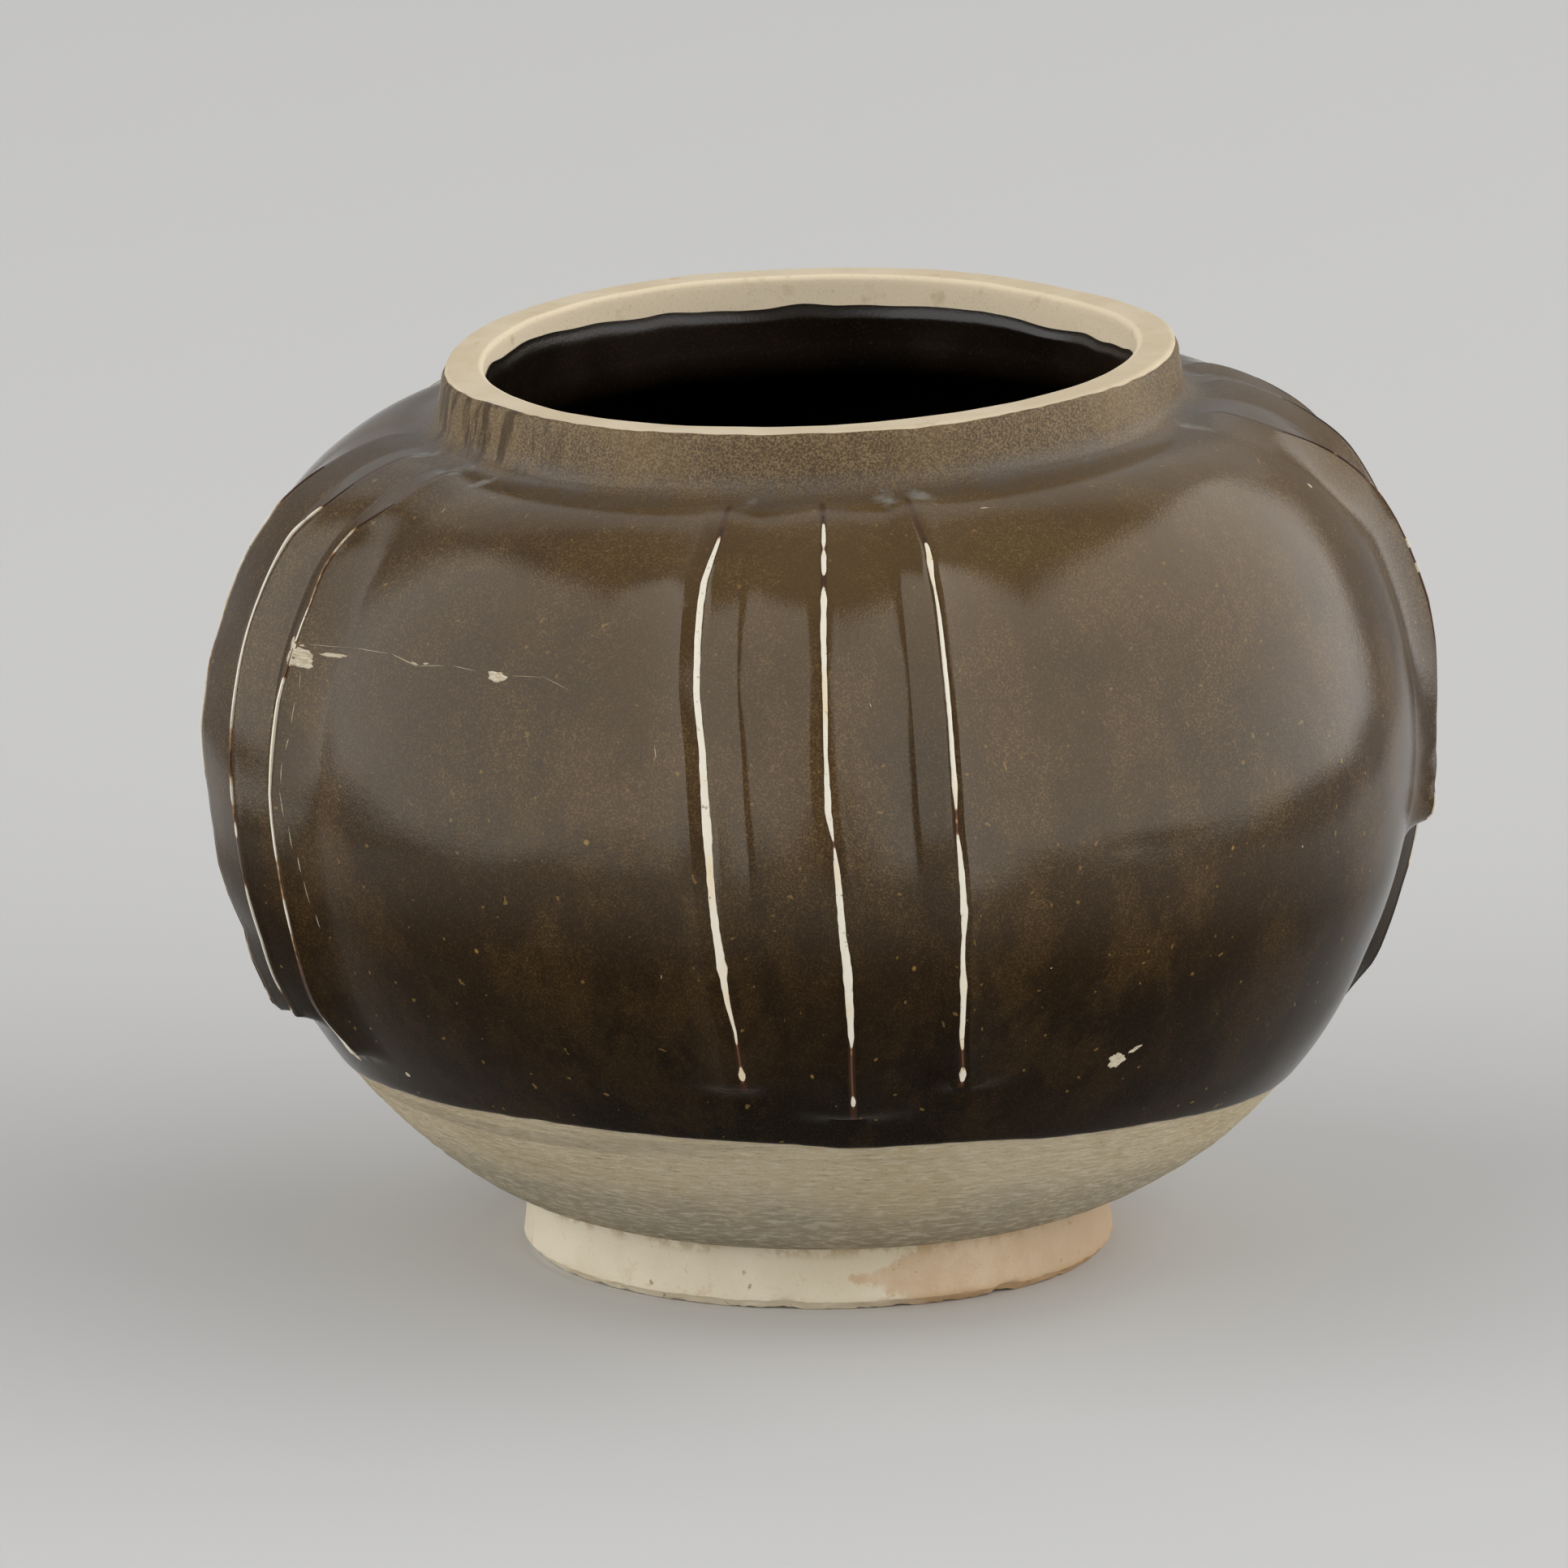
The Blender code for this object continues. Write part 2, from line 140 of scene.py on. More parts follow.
# %% Lamps
LAMP_DISTANCE = 2.0
LAMPS = {
    "lamp_left": {"azimuth": -68.5, "elevation": 21.0, "width": 3.45, "height": 2.7, "roll": -7.0, "power": 42.5},
    "lamp_right": {"azimuth": 82.0, "elevation": 21.0, "width": 4.9, "height": 2.6, "roll": 4.0, "power": 67.0},
    "lamp_behind": {"azimuth": 180.0, "elevation": 44.0, "width": 2.6, "height": 1.2, "roll": 0.0, "power": 3.8},
}

for name, lamp in LAMPS.items():
    side, up = math.radians(lamp["azimuth"]), math.radians(lamp["elevation"])
    away = Vector((math.sin(side) * math.cos(up), -math.cos(side) * math.cos(up), math.sin(up)))
    bpy.ops.object.light_add(type="AREA", location=AIM + away * LAMP_DISTANCE)
    light = bpy.context.object
    light.name = name
    facing = away.to_track_quat("Z", "Y").to_matrix()
    light.rotation_euler = (Matrix.Rotation(math.radians(lamp["roll"]), 3, away) @ facing).to_euler()
    light.data.shape = "RECTANGLE"
    light.data.size = lamp["width"]
    light.data.size_y = lamp["height"]
    light.data.energy = lamp["power"]
print("lamps:", len(LAMPS))

# %% [markdown]
# ## The jar's outline
# A potter checks a pot against a template. Here the template is a pair of rounded quarters, one over the
# shoulder and one under the belly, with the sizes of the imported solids. All pieces share it, so the
# glaze lies on the clay and the slip lies on the glaze.

# %% The jar's outline
BODY_RADIUS = 0.0890
WIDEST_HEIGHT = 0.0780
SHOULDER_TOP_HEIGHT = 0.1260
SHOULDER_TOP_RADIUS = 0.0600
BELLY_FOOT_RADIUS = 0.0430
WALL_THICKNESS = 0.0052
FLOOR_HEIGHT = 0.0168
FLOOR_INSIDE_RADIUS = 0.0340
SHOULDER_CURVE = (2.05, 1.84)
BELLY_CURVE = (2.00, 1.42)
COLLAR_FOOT_RADIUS = 0.0557
LIP_HEIGHT = 0.1360
LIP_RADIUS = 0.0543
MOUTH_RADIUS = 0.0485
NECK_HOLE_RADIUS = 0.0490
FOOT_HEIGHT = 0.0093
MOUTH_TILT = math.radians(2.4)
MOUTH_SHIFT = -0.0012
MERGE_DISTANCE = 0.000002


def smooth_step(value):
    """0 below 0, 1 above 1, and an even rise between."""
    value = np.clip(value, 0.0, 1.0)
    return value * value * (3.0 - 2.0 * value)


def curved_radius(share, end_radius, widest_radius, curve):
    """The radius at a share of the way from the widest ring to the end ring of a rounded quarter."""
    return end_radius + (widest_radius - end_radius) * (1.0 - np.clip(share, 0.0, 1.0) ** curve[0]) ** (1.0 / curve[1])


def wall_radius(height):
    """The outside radius of the thrown wall at a height."""
    up = (height - WIDEST_HEIGHT) / (SHOULDER_TOP_HEIGHT - WIDEST_HEIGHT)
    down = (WIDEST_HEIGHT - height) / (WIDEST_HEIGHT - FOOT_HEIGHT)
    shoulder = curved_radius(up, SHOULDER_TOP_RADIUS, BODY_RADIUS, SHOULDER_CURVE)
    belly = curved_radius(down, BELLY_FOOT_RADIUS, BODY_RADIUS, BELLY_CURVE)
    return np.where(height >= WIDEST_HEIGHT, shoulder, belly)


def quarter(end_radius, end_height, widest_radius, curve, steps):
    """Points of a rounded quarter, from its end ring to the widest ring."""
    share = np.cos(np.linspace(0.0, math.pi / 2.0, steps + 1)) ** (2.0 / curve[0])
    heights = WIDEST_HEIGHT + (end_height - WIDEST_HEIGHT) * share
    return list(zip(curved_radius(share, end_radius, widest_radius, curve), heights))


print("widest:", BODY_RADIUS, "at", WIDEST_HEIGHT, "radius at the foot:", round(float(wall_radius(FOOT_HEIGHT)), 4))

# %% [markdown]
# ## What the kiln did
# The real jar sagged in the kiln, so its mouth leans to the left, the far side of its lip is warped and
# its low belly sways. One function moves the points of every piece in the same way, so they still fit
# each other. A second one gives smooth chance values, with which clay and glaze are made uneven.

# %% What the kiln did
# The lip's warp as (azimuth in degrees, rise in mm).
LIP_WARP = np.array([
    (0, 0), (90, 0), (105, -0.15), (120, -0.4), (132, -0.5), (141, -0.3), (148, 0), (160, 0.3), (172, 0.45),
    (184, 0.6), (195, 0.85), (207, 1), (222, 1), (240, 0.9), (255, 0.5), (270, 0.15), (285, 0), (360, 0),
])
LIP_WARP_START = 0.1215
LIP_WARP_BAND = 0.013
BELLY_SWAY = 0.00075


def settle(points):
    """Leans the neck to one side, warps the back of the lip and sways the low belly, as the kiln did."""
    azimuth = np.degrees(np.arctan2(points[:, 0], -points[:, 1])) % 360.0
    share = smooth_step((points[:, 2] - WIDEST_HEIGHT) / (SHOULDER_TOP_HEIGHT - WIDEST_HEIGHT))
    lean = math.tan(MOUTH_TILT) * points[:, 0] * share
    warp = np.interp(azimuth, LIP_WARP[:, 0], LIP_WARP[:, 1]) / 1000.0
    warp *= smooth_step((points[:, 2] - LIP_WARP_START) / LIP_WARP_BAND)
    sway = BELLY_SWAY * smooth_step((points[:, 2] - FOOT_HEIGHT) / 0.010)
    sway *= smooth_step((0.050 - points[:, 2]) / 0.018)
    return points + np.stack([MOUTH_SHIFT * share + sway, np.zeros(len(points)), lean + warp], axis=1)


def uneven(points, size, seed):
    """Smooth chance values from -1 to 1 that change over a length, or over one length for each axis."""
    scaled = np.asarray(points) / np.asarray(size) + (seed * 13.7, seed * 7.9, seed * 3.1)
    return np.array([noise.noise(Vector(point)) for point in scaled])


print("lip warp from", LIP_WARP[:, 1].min(), "to", LIP_WARP[:, 1].max(), "mm")

# %% [markdown]
# ## Throwing a piece
# Every round piece starts as a single point on its outline. The point is extruded along the outline, as a
# rib tool would draw it, and the line is spun once round the axis. The last column then lies on the
# first, so the doubles are merged before the faces are turned outwards. What the hand, the trimming tool
# and the kiln did to the round form is added by moving its vertices afterwards.

# %% Throwing a piece
def throw(name, outline, steps):
    """Draws an outline of (radius, height) points and spins it round the jar's axis into a new piece."""
    start_clean()
    bpy.ops.mesh.primitive_plane_add(size=0.001, location=(outline[0][0], 0.0, outline[0][1]))
    piece = bpy.context.object
    piece.name = name
    bpy.ops.object.mode_set(mode="EDIT")
    bpy.ops.mesh.select_all(action="SELECT")
    bpy.ops.mesh.merge(type="CENTER")
    for (from_radius, from_height), (to_radius, to_height) in zip(outline, outline[1:]):
        step = (to_radius - from_radius, 0.0, to_height - from_height)
        bpy.ops.mesh.extrude_vertices_move(TRANSFORM_OT_translate={"value": step})
    bpy.ops.mesh.select_all(action="SELECT")
    bpy.ops.mesh.spin(steps=steps, angle=math.tau, center=(0.0, 0.0, 0.0), axis=(0.0, 0.0, 1.0))
    bpy.ops.mesh.select_all(action="SELECT")
    bpy.ops.mesh.remove_doubles(threshold=MERGE_DISTANCE)
    bpy.ops.mesh.select_all(action="SELECT")
    bpy.ops.mesh.normals_make_consistent(inside=False)
    bpy.ops.object.mode_set(mode="OBJECT")
    bpy.ops.object.transform_apply(location=True, rotation=True, scale=True)
    return piece


def points_of(piece):
    """The piece's vertices as an array of places."""
    places = np.empty(len(piece.data.vertices) * 3)
    piece.data.vertices.foreach_get("co", places)
    return places.reshape(-1, 3)


def put_points(piece, points):
    """Moves the piece's vertices to new places."""
    piece.data.vertices.foreach_set("co", np.asarray(points, dtype=np.float32).ravel())
    piece.data.update()


def finish_piece(piece, nodes, sharp=35.0):
    """Smooths the shading, rides the piece on the jar, and hides the solids it stands for."""
    start_clean()
    piece.select_set(True)
    bpy.context.view_layer.objects.active = piece
    bpy.ops.object.shade_smooth_by_angle(angle=math.radians(sharp))
    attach(piece, "root")
    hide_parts(*nodes)
    print(piece.name, "faces:", len(piece.data.polygons))


# %% [markdown]
# ## The thrown wall
# Only the lower belly shows bare. It was trimmed with a tool on the turning wheel, which tore the coarse
# clay into short flakes that lie round the jar and left faint rings. A displacement that is stretched
# along the turning direction gives both, and it only acts where the clay is bare.

# %% The thrown wall
WALL_COLUMNS = 360
BARE_TOP_HEIGHT = 0.0345
BARE_ROW_STEP = 0.00036
UNDER_GLAZE = 0.0004
NECK_ROUNDING = 0.0046


def inside_top(steps):
    """The inside from the joint with the collar: round the corner of the neck hole and out under the shoulder."""
    turn = np.linspace(0.0, math.pi / 2.0, 8)
    under_top, widest = SHOULDER_TOP_HEIGHT - WALL_THICKNESS, BODY_RADIUS - WALL_THICKNESS
    middle = (NECK_HOLE_RADIUS + NECK_ROUNDING, under_top - 0.0002 + NECK_ROUNDING)
    corner = [(middle[0] - NECK_ROUNDING * math.cos(a), middle[1] - NECK_ROUNDING * math.sin(a)) for a in turn]
    under = quarter(NECK_HOLE_RADIUS, under_top, widest, SHOULDER_CURVE, steps)
    return corner + [spot for spot in under if spot[0] > middle[0] + 0.0005]


inside_shoulder = inside_top(16)
inside_belly = quarter(FLOOR_INSIDE_RADIUS, FLOOR_HEIGHT, BODY_RADIUS - WALL_THICKNESS, BELLY_CURVE, 14)
inside = inside_shoulder + inside_belly[-2::-1]
outside_shoulder = quarter(SHOULDER_TOP_RADIUS, SHOULDER_TOP_HEIGHT, BODY_RADIUS, SHOULDER_CURVE, 16)
covered_heights = np.linspace(WIDEST_HEIGHT, BARE_TOP_HEIGHT, 12)[1:]
bare_heights = np.arange(BARE_TOP_HEIGHT - BARE_ROW_STEP, FOOT_HEIGHT, -BARE_ROW_STEP)
belly_heights = list(covered_heights) + list(bare_heights) + [FOOT_HEIGHT]
covered = [(r - UNDER_GLAZE, h) for r, h in outside_shoulder]
covered += [(float(wall_radius(h)) - UNDER_GLAZE, h) for h in covered_heights[:-1]]
outside = covered + [(float(wall_radius(h)), h) for h in belly_heights[len(covered_heights) - 1:]]
underside = [(BELLY_FOOT_RADIUS * share, FOOT_HEIGHT) for share in (0.8, 0.6, 0.4, 0.2, 0.0)]
wall_outline = [(0.0, FLOOR_HEIGHT)] + inside[::-1] + [(NECK_HOLE_RADIUS, SHOULDER_TOP_HEIGHT)] + outside + underside
wall = throw("thrown_wall", wall_outline, WALL_COLUMNS)
print("wall outline:", len(wall_outline), "points")

# %% Trimming the belly
FLAKE_DEPTH = 0.00024
FLAKE_SIZE = (0.0030, 0.0030, 0.00055)
RING_DEPTH = 0.00008
RING_SPACING = 0.0011
TRIM_WAVE = 0.00018
TRIM_WAVE_SIZE = (0.018, 0.018, 0.006)
TRIM_SINK = 0.00006
BELLY_ROUND = 0.07

points = points_of(wall)
radius = np.hypot(points[:, 0], points[:, 1])
bare = (points[:, 2] < BARE_TOP_HEIGHT) & (points[:, 2] > FOOT_HEIGHT + 0.0002)
bare &= radius > wall_radius(points[:, 2]) - 0.0002
trimmed = points[bare]
azimuth = np.arctan2(trimmed[:, 0], -trimmed[:, 1])
laid_flat = np.stack([np.sin(azimuth) * BELLY_ROUND, np.cos(azimuth) * BELLY_ROUND, trimmed[:, 2]], axis=1)
flakes = uneven(laid_flat, FLAKE_SIZE, 1)
flakes = np.sign(flakes) * np.abs(flakes) ** 1.4
rings = uneven(np.stack([0.0 * azimuth, 0.0 * azimuth, trimmed[:, 2]], axis=1), (1.0, 1.0, RING_SPACING), 2)
waves = uneven(laid_flat, TRIM_WAVE_SIZE, 3)
relief = FLAKE_DEPTH * flakes + RING_DEPTH * rings + TRIM_WAVE * waves - TRIM_SINK
edge = smooth_step((trimmed[:, 2] - FOOT_HEIGHT) / 0.001)
scale = 1.0 + relief * edge / radius[bare]
points[bare] = trimmed * np.stack([scale, scale, np.ones(len(scale))], axis=1)
put_points(wall, settle(points))
print("trimmed vertices:", int(bare.sum()), "relief up to", round(float(np.abs(relief).max()) * 1000.0, 2), "mm")

# %% [markdown]
# ## The luted collar
# The collar was thrown apart, set on the shoulder and wiped. Its lip is flat, rounded at both edges and
# a little uneven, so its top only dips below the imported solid's. It is a closed ring outline, spun.

# %% The luted collar
COLLAR_COLUMNS = 320
LIP_ROUNDING = 0.0008
LIP_DIP = 0.00025


def rounded_corner(corner_radius, side, steps):
    """The rounded edge of the lip, from the side of the collar to its flat top."""
    turn = np.linspace(0.0, math.pi / 2.0, steps + 1)
    middle, base = corner_radius - side * LIP_ROUNDING, LIP_HEIGHT - LIP_ROUNDING
    return [(middle + side * LIP_ROUNDING * math.cos(a), base + LIP_ROUNDING * math.sin(a)) for a in turn]


def straight(start, end, steps):
    """Even points from start to end, both included."""
    start, end = np.array(start), np.array(end)
    return [tuple(start + (end - start) * step / steps) for step in range(steps + 1)]


outer_corner = rounded_corner(LIP_RADIUS, 1, 5)
inner_corner = rounded_corner(MOUTH_RADIUS, -1, 5)[::-1]
outer_side = straight((COLLAR_FOOT_RADIUS, SHOULDER_TOP_HEIGHT), outer_corner[0], 9)[:-1]
lip_top = straight(outer_corner[-1], inner_corner[0], 6)[1:-1]
inner_side = straight(inner_corner[-1], (NECK_HOLE_RADIUS, SHOULDER_TOP_HEIGHT), 12)[1:]
joint = straight((NECK_HOLE_RADIUS, SHOULDER_TOP_HEIGHT), (COLLAR_FOOT_RADIUS, SHOULDER_TOP_HEIGHT), 4)[1:]
collar_outline = outer_side + outer_corner + lip_top + inner_corner + inner_side + joint
collar = throw("luted_collar", collar_outline, COLLAR_COLUMNS)

points = points_of(collar)
rise = smooth_step((points[:, 2] - 0.1300) / 0.004)
dips = uneven(points, (0.016, 0.016, 0.5), 4) + 0.5 * uneven(points, (0.005, 0.005, 0.5), 5)
points[:, 2] -= rise * LIP_DIP * (0.5 + 0.5 * dips)
out = 0.00012 * uneven(points, (0.012, 0.012, 0.006), 6) - 0.00006
ring = np.hypot(points[:, 0], points[:, 1])
points[:, :2] *= (1.0 + np.where(ring > 0.0515, out, -out) * rise / ring)[:, None]
put_points(collar, settle(points))
print("lip top in mm:", round(points[:, 2].max() * 1000.0, 2))

# %% [markdown]
# ## The turned foot
# The foot ring was cut with a trimming tool and bevelled. Its standing edge is rough and chipped, and its
# side is slightly waisted. The roughness is strongest at the bevel and never reaches below the floor.

# %% The turned foot
FOOT_COLUMNS = 360
FOOT_RADIUS = 0.0440
FOOT_WAIST_RADIUS = 0.0435
FOOT_RING_WIDTH = 0.0072
FOOT_INSIDE_RADIUS = 0.0358
FOOT_BEVEL_WIDTH = 0.0012
FOOT_BEVEL_HEIGHT = 0.0013
CHIP_DEPTH = 0.0005

side_top = straight((BELLY_FOOT_RADIUS, FOOT_HEIGHT), (FOOT_WAIST_RADIUS, 0.0062), 8)
side_low = straight((FOOT_WAIST_RADIUS, 0.0062), (FOOT_RADIUS, FOOT_BEVEL_HEIGHT), 9)[1:]
bevel = straight((FOOT_RADIUS, FOOT_BEVEL_HEIGHT), (FOOT_RADIUS - FOOT_BEVEL_WIDTH, 0.0), 8)[1:]
standing = straight((FOOT_RADIUS - FOOT_BEVEL_WIDTH, 0.0), (FOOT_RADIUS - FOOT_RING_WIDTH, 0.0), 8)[1:]
hollow = straight((FOOT_RADIUS - FOOT_RING_WIDTH, 0.0), (FOOT_INSIDE_RADIUS, FOOT_HEIGHT), 8)[1:]
seat = straight((FOOT_INSIDE_RADIUS, FOOT_HEIGHT), (BELLY_FOOT_RADIUS, FOOT_HEIGHT), 4)[1:]
foot = throw("turned_foot", side_top + side_low + bevel + standing + hollow + seat, FOOT_COLUMNS)

points = points_of(foot)
ring = np.hypot(points[:, 0], points[:, 1])
on_side = smooth_step((ring - 0.0400) / 0.0015) * smooth_step((FOOT_HEIGHT - points[:, 2]) / 0.0012)
low = smooth_step((0.0026 - points[:, 2]) / 0.0018)
broad = uneven(points, (0.020, 0.020, 0.010), 7)
grit = uneven(points, (0.0022, 0.0022, 0.0012), 8)
bites = np.maximum(uneven(points, (0.0050, 0.0050, 0.0040), 9) - 0.25, 0.0)
inward = 0.00018 * broad + 0.00006 * grit + low * (0.00016 * grit + CHIP_DEPTH * 2.2 * bites)
points[:, :2] *= (1.0 - np.maximum(inward, -0.0002) * on_side / ring)[:, None]
lift = low * on_side * (0.00045 * np.abs(grit) + CHIP_DEPTH * 2.0 * bites)
points[:, 2] += np.where(points[:, 2] < FOOT_HEIGHT - 0.001, lift, 0.0)
points[:, 2] = np.maximum(points[:, 2], 0.000001)
put_points(foot, points)
print("foot's lowest point in mm:", round(points[:, 2].min() * 1000.0, 4))

# %% [markdown]
# ## Where the ribs run
# The slip was trailed from the neck down over the belly in five groups of three, and no line is quite
# straight. What the photograph shows of a rib is in the tables below: its run, the widths of its bare
# crest, its end and its lifts. What it hides leans, wanders and swells in the same way by chance.

# %% The runs of the ribs in the photograph
# (height in mm, azimuth in degrees), from the end upwards.
MEASURED_RUNS = {
    "front_1": [
        (47.4, -7.7), (50.5, -7.75), (54.7, -7.95), (59.5, -8.6), (64.3, -8.95), (69, -9.35), (74.9, -9.75),
        (81.4, -10.05), (89.6, -10.4), (95.9, -10.63), (103.7, -11.32), (111.8, -11.54), (117.9, -11.6),
        (122.7, -11),
    ],
    "front_2": [
        (43.1, 3.3), (47.7, 3.2), (53.4, 3.12), (59.1, 2.88), (64.6, 2.62), (69.9, 2.16), (75.8, 1.85),
        (82.6, 1.42), (87.4, 0.93), (96, 0.88), (103.7, 1.05), (110.5, 1.1), (118.4, 1.4), (123.9, 1.6),
    ],
    "front_3": [
        (47.4, 14.45), (53.5, 13.78), (61.1, 13.6), (65.9, 13.33), (72, 13.36), (78.5, 13.05), (84.3, 12.7),
        (94.1, 12.7), (105.7, 12.85), (111.8, 13), (117, 13.05), (120.7, 13.4), (124, 13.1),
    ],
    "right_1": [
        (64, 88.4), (68.6, 88.5), (75, 89.5), (85, 90.3), (95, 90.7), (102, 90.5), (106, 89.7), (109.5, 87.8),
        (112.2, 86), (115.4, 84.3), (118.1, 83.3), (120.1, 82), (122.6, 79.8), (125, 78.4),
    ],
    "left_2": [
        (43, -71.6), (46.6, -70.8), (54.4, -69.4), (61.6, -69.7), (70.9, -69.8), (80.4, -71), (92.8, -71),
        (106, -71.6), (115, -72.6), (119.7, -72),
    ],
    "left_3": [
        (39.4, -60.2), (44, -60.8), (50, -60.9), (60.5, -60.4), (68.8, -60.6), (78.8, -61.4), (93.2, -61.2),
        (103.4, -60.4), (108, -60.4), (112.7, -61.1), (119, -61.4), (122.4, -59.6),
    ],
}
print("measured runs:", len(MEASURED_RUNS))

# %% The widths of their bare crests
# (height in mm, width in mm). Where the width is near 0, the glaze still covers the crest. The photograph
# shows right_2 and right_3 only at the shoulder, so their widths below it are guessed.
MEASURED_WIDTHS = {
    "right_1": [
        (65.2, 0), (65.7, 0.5), (67, 0.65), (69, 0.35), (70, 0.1), (98.8, 0.1), (99.3, 0.55), (100, 0.55),
        (100.5, 0.1), (102.1, 0.1), (102.6, 0.65), (103.2, 0.65), (103.7, 0.1), (108, 0.15), (110, 0.24),
        (121, 0.22), (122, 0),
    ],
    "front_1": [
        (46, 0), (46.6, 0.9), (47.4, 1.15), (48.3, 0.5), (49.5, 0.05), (51.5, 0.05), (53, 0.3), (57, 0.55),
        (60, 0.85), (63, 1), (64.5, 1.65), (66, 1.3), (70, 1.25), (75, 1.1), (80, 1.15), (85, 1.4), (90, 1.2),
        (96, 1.05), (112, 1), (119, 0.9), (122.6, 0.55), (123.6, 0),
    ],
    "front_2": [
        (41.9, 0), (42.2, 0.5), (42.9, 0.85), (43.6, 0.6), (44.5, 0.05), (48, 0.1), (50, 0.15), (51.5, 0.3),
        (52.5, 0.25), (54, 0.8), (57, 1.05), (62, 1.3), (65, 1.45), (68, 1.15), (72, 1.1), (79.5, 0.95),
        (81.5, 0.5), (83, 0.15), (84, 0.4), (86.5, 1), (89, 1), (92, 0.8), (95, 0.6), (100, 0.75), (109, 0.8),
        (112, 0.95), (113.5, 0.75), (115.1, 1.05), (116, 0.7), (116.8, 0.2), (118, 0.15), (118.7, 0.75),
        (120.5, 0.8), (121.5, 0.2), (122.2, 0.65), (123.9, 0.5), (124.6, 0),
    ],
    "front_3": [
        (45.3, 0), (45.8, 0.7), (46.8, 1.15), (47.8, 0.6), (48.3, 0.1), (51, 0.1), (52, 0.5), (54.5, 0.8),
        (59.5, 0.8), (61.4, 1.2), (64, 0.75), (69, 0.6), (72.5, 1.25), (75, 1), (78.5, 0.95), (82.5, 0.6),
        (84.5, 0.15), (85.7, 0.3), (86.8, 0.15), (88.3, 0.5), (90.5, 0.85), (93, 0.7), (98, 0.6), (105, 0.65),
        (112, 0.55), (115.5, 0.35), (117.5, 0.7), (119, 1), (121, 0.6), (121.6, 0),
    ],
    "right_2": [
        (36, 0), (37, 0.6), (39, 0.1), (52, 0.15), (60, 0.5), (75, 0.6), (88, 0.5), (97, 0.1), (121, 0.05),
        (122, 0),
    ],
    "right_3": [
        (44, 0), (45.5, 1), (47, 0.1), (52, 0.3), (60, 0.9), (66, 0.7), (74, 1.1), (84, 0.8), (95, 0.9),
        (101, 0.5), (103, 0.1), (121, 0.05), (122, 0),
    ],
    "left_1": [
        (40.3, 0), (41.2, 0.5), (43.5, 0.1), (47, 0.35), (54, 0.1), (58, 0.45), (66, 0.15), (70, 0.1),
        (74, 0.3), (80, 0.6), (84, 0.75), (87, 0.3), (95, 0.3), (104, 0.35), (112, 0.45), (117, 0.2), (121, 0),
    ],
    "left_2": [
        (42.2, 0), (42.8, 0.35), (44.5, 0.15), (47, 0.4), (54, 0.55), (60, 0.5), (63, 0.25), (66, 0.15),
        (69.5, 0.2), (70.5, 0.75), (72, 0.2), (76, 0.4), (80, 0.2), (85, 0.3), (90, 0.6), (98, 0.65),
        (106, 0.6), (112, 0.5), (115.5, 0.75), (117, 0.3), (117.8, 0.7), (118.6, 0.5), (119.2, 0.1), (122, 0),
    ],
    "left_3": [
        (38.9, 0), (39.3, 1.1), (40.3, 1.5), (41.4, 1.2), (42.4, 0.4), (50, 0.22), (58, 0.27), (62, 0.5),
        (64, 0.27), (69, 0.27), (71, 0.45), (76, 0.5), (84, 0.5), (92, 0.45), (96.5, 0.45), (97.5, 0.05),
        (101.8, 0.05), (102.8, 0.4), (108, 0.3), (113, 0.25), (118, 0.3), (122, 0),
    ],
}

print("measured widths:", len(MEASURED_WIDTHS))

# %% The ends and the lifts of the ribs at the edges
# (height in mm, how much higher or lower than a plain rib the crest stands, in mm).
MEASURED_ENDS = {"right_1": 0.0655, "right_2": 0.0350, "left_1": 0.0394, "left_2": 0.0420, "left_3": 0.0396}
MEASURED_LIFTS = {
    "right_1": [
        (65, 0.6), (66.6, 1.6), (68.4, 1.35), (70.4, 0.6), (75.4, -0.05), (80.4, -0.1), (85.3, 0.47),
        (90.5, 1.05), (95.5, 1.3), (100.5, 1.05), (105.5, 0.85), (110, 0.8), (115, 0.5), (120, 0.2), (124, 0),
    ],
    "left_1": [
        (36, 1.8), (40.5, 2.1), (45.5, 0.6), (50.5, -0.7), (55.5, -0.35), (60.4, -0.2), (65.4, -0.65),
        (70.4, -0.7), (75.4, -0.35), (80.5, 0), (85.5, -0.35), (91, -0.65), (96.5, -1.2), (102.5, -1.15),
        (108, -0.95), (113, -1.1), (120, -0.4),
    ],
    "left_2": [
        (39.5, 0.9), (43, 0.8), (46, 0.5), (50, 0),
    ],
    "right_2": [
        (33, 0.8), (36, 2.2), (41, 2.6), (45.5, 2.3), (50.5, 2), (55.5, 1.7), (60.4, 1.3), (65, 0.9), (75, 0),
        (124, 0),
    ],
}

print("measured ends:", len(MEASURED_ENDS), "measured lifts:", len(MEASURED_LIFTS))

# %% Fifteen ribs in five groups
RIB_PITCH = 11.8
RIB_LEAN = 2.3
RIB_WANDER = 0.35
RIB_END_HEIGHT = 0.0447
LONG_RIB_END_HEIGHT = 0.0400
GROUPS = {"front": 2.2, "right": 99.3, "back_right": 158.5, "back_left": 220.5, "left": 286.6}
chance = np.random.default_rng(7)


def chance_run(azimuth):
    """A rib that leans from its end to the neck and wanders a little: (height, azimuth)."""
    heights = np.linspace(40.0, 124.0, 15)
    lean = RIB_LEAN * (smooth_step((126.0 - heights) / 86.0) - 0.5)
    wander = np.convolve(chance.normal(0.0, RIB_WANDER, 19), np.ones(5) / 5.0, "valid")
    return list(zip(heights, azimuth + lean + wander))


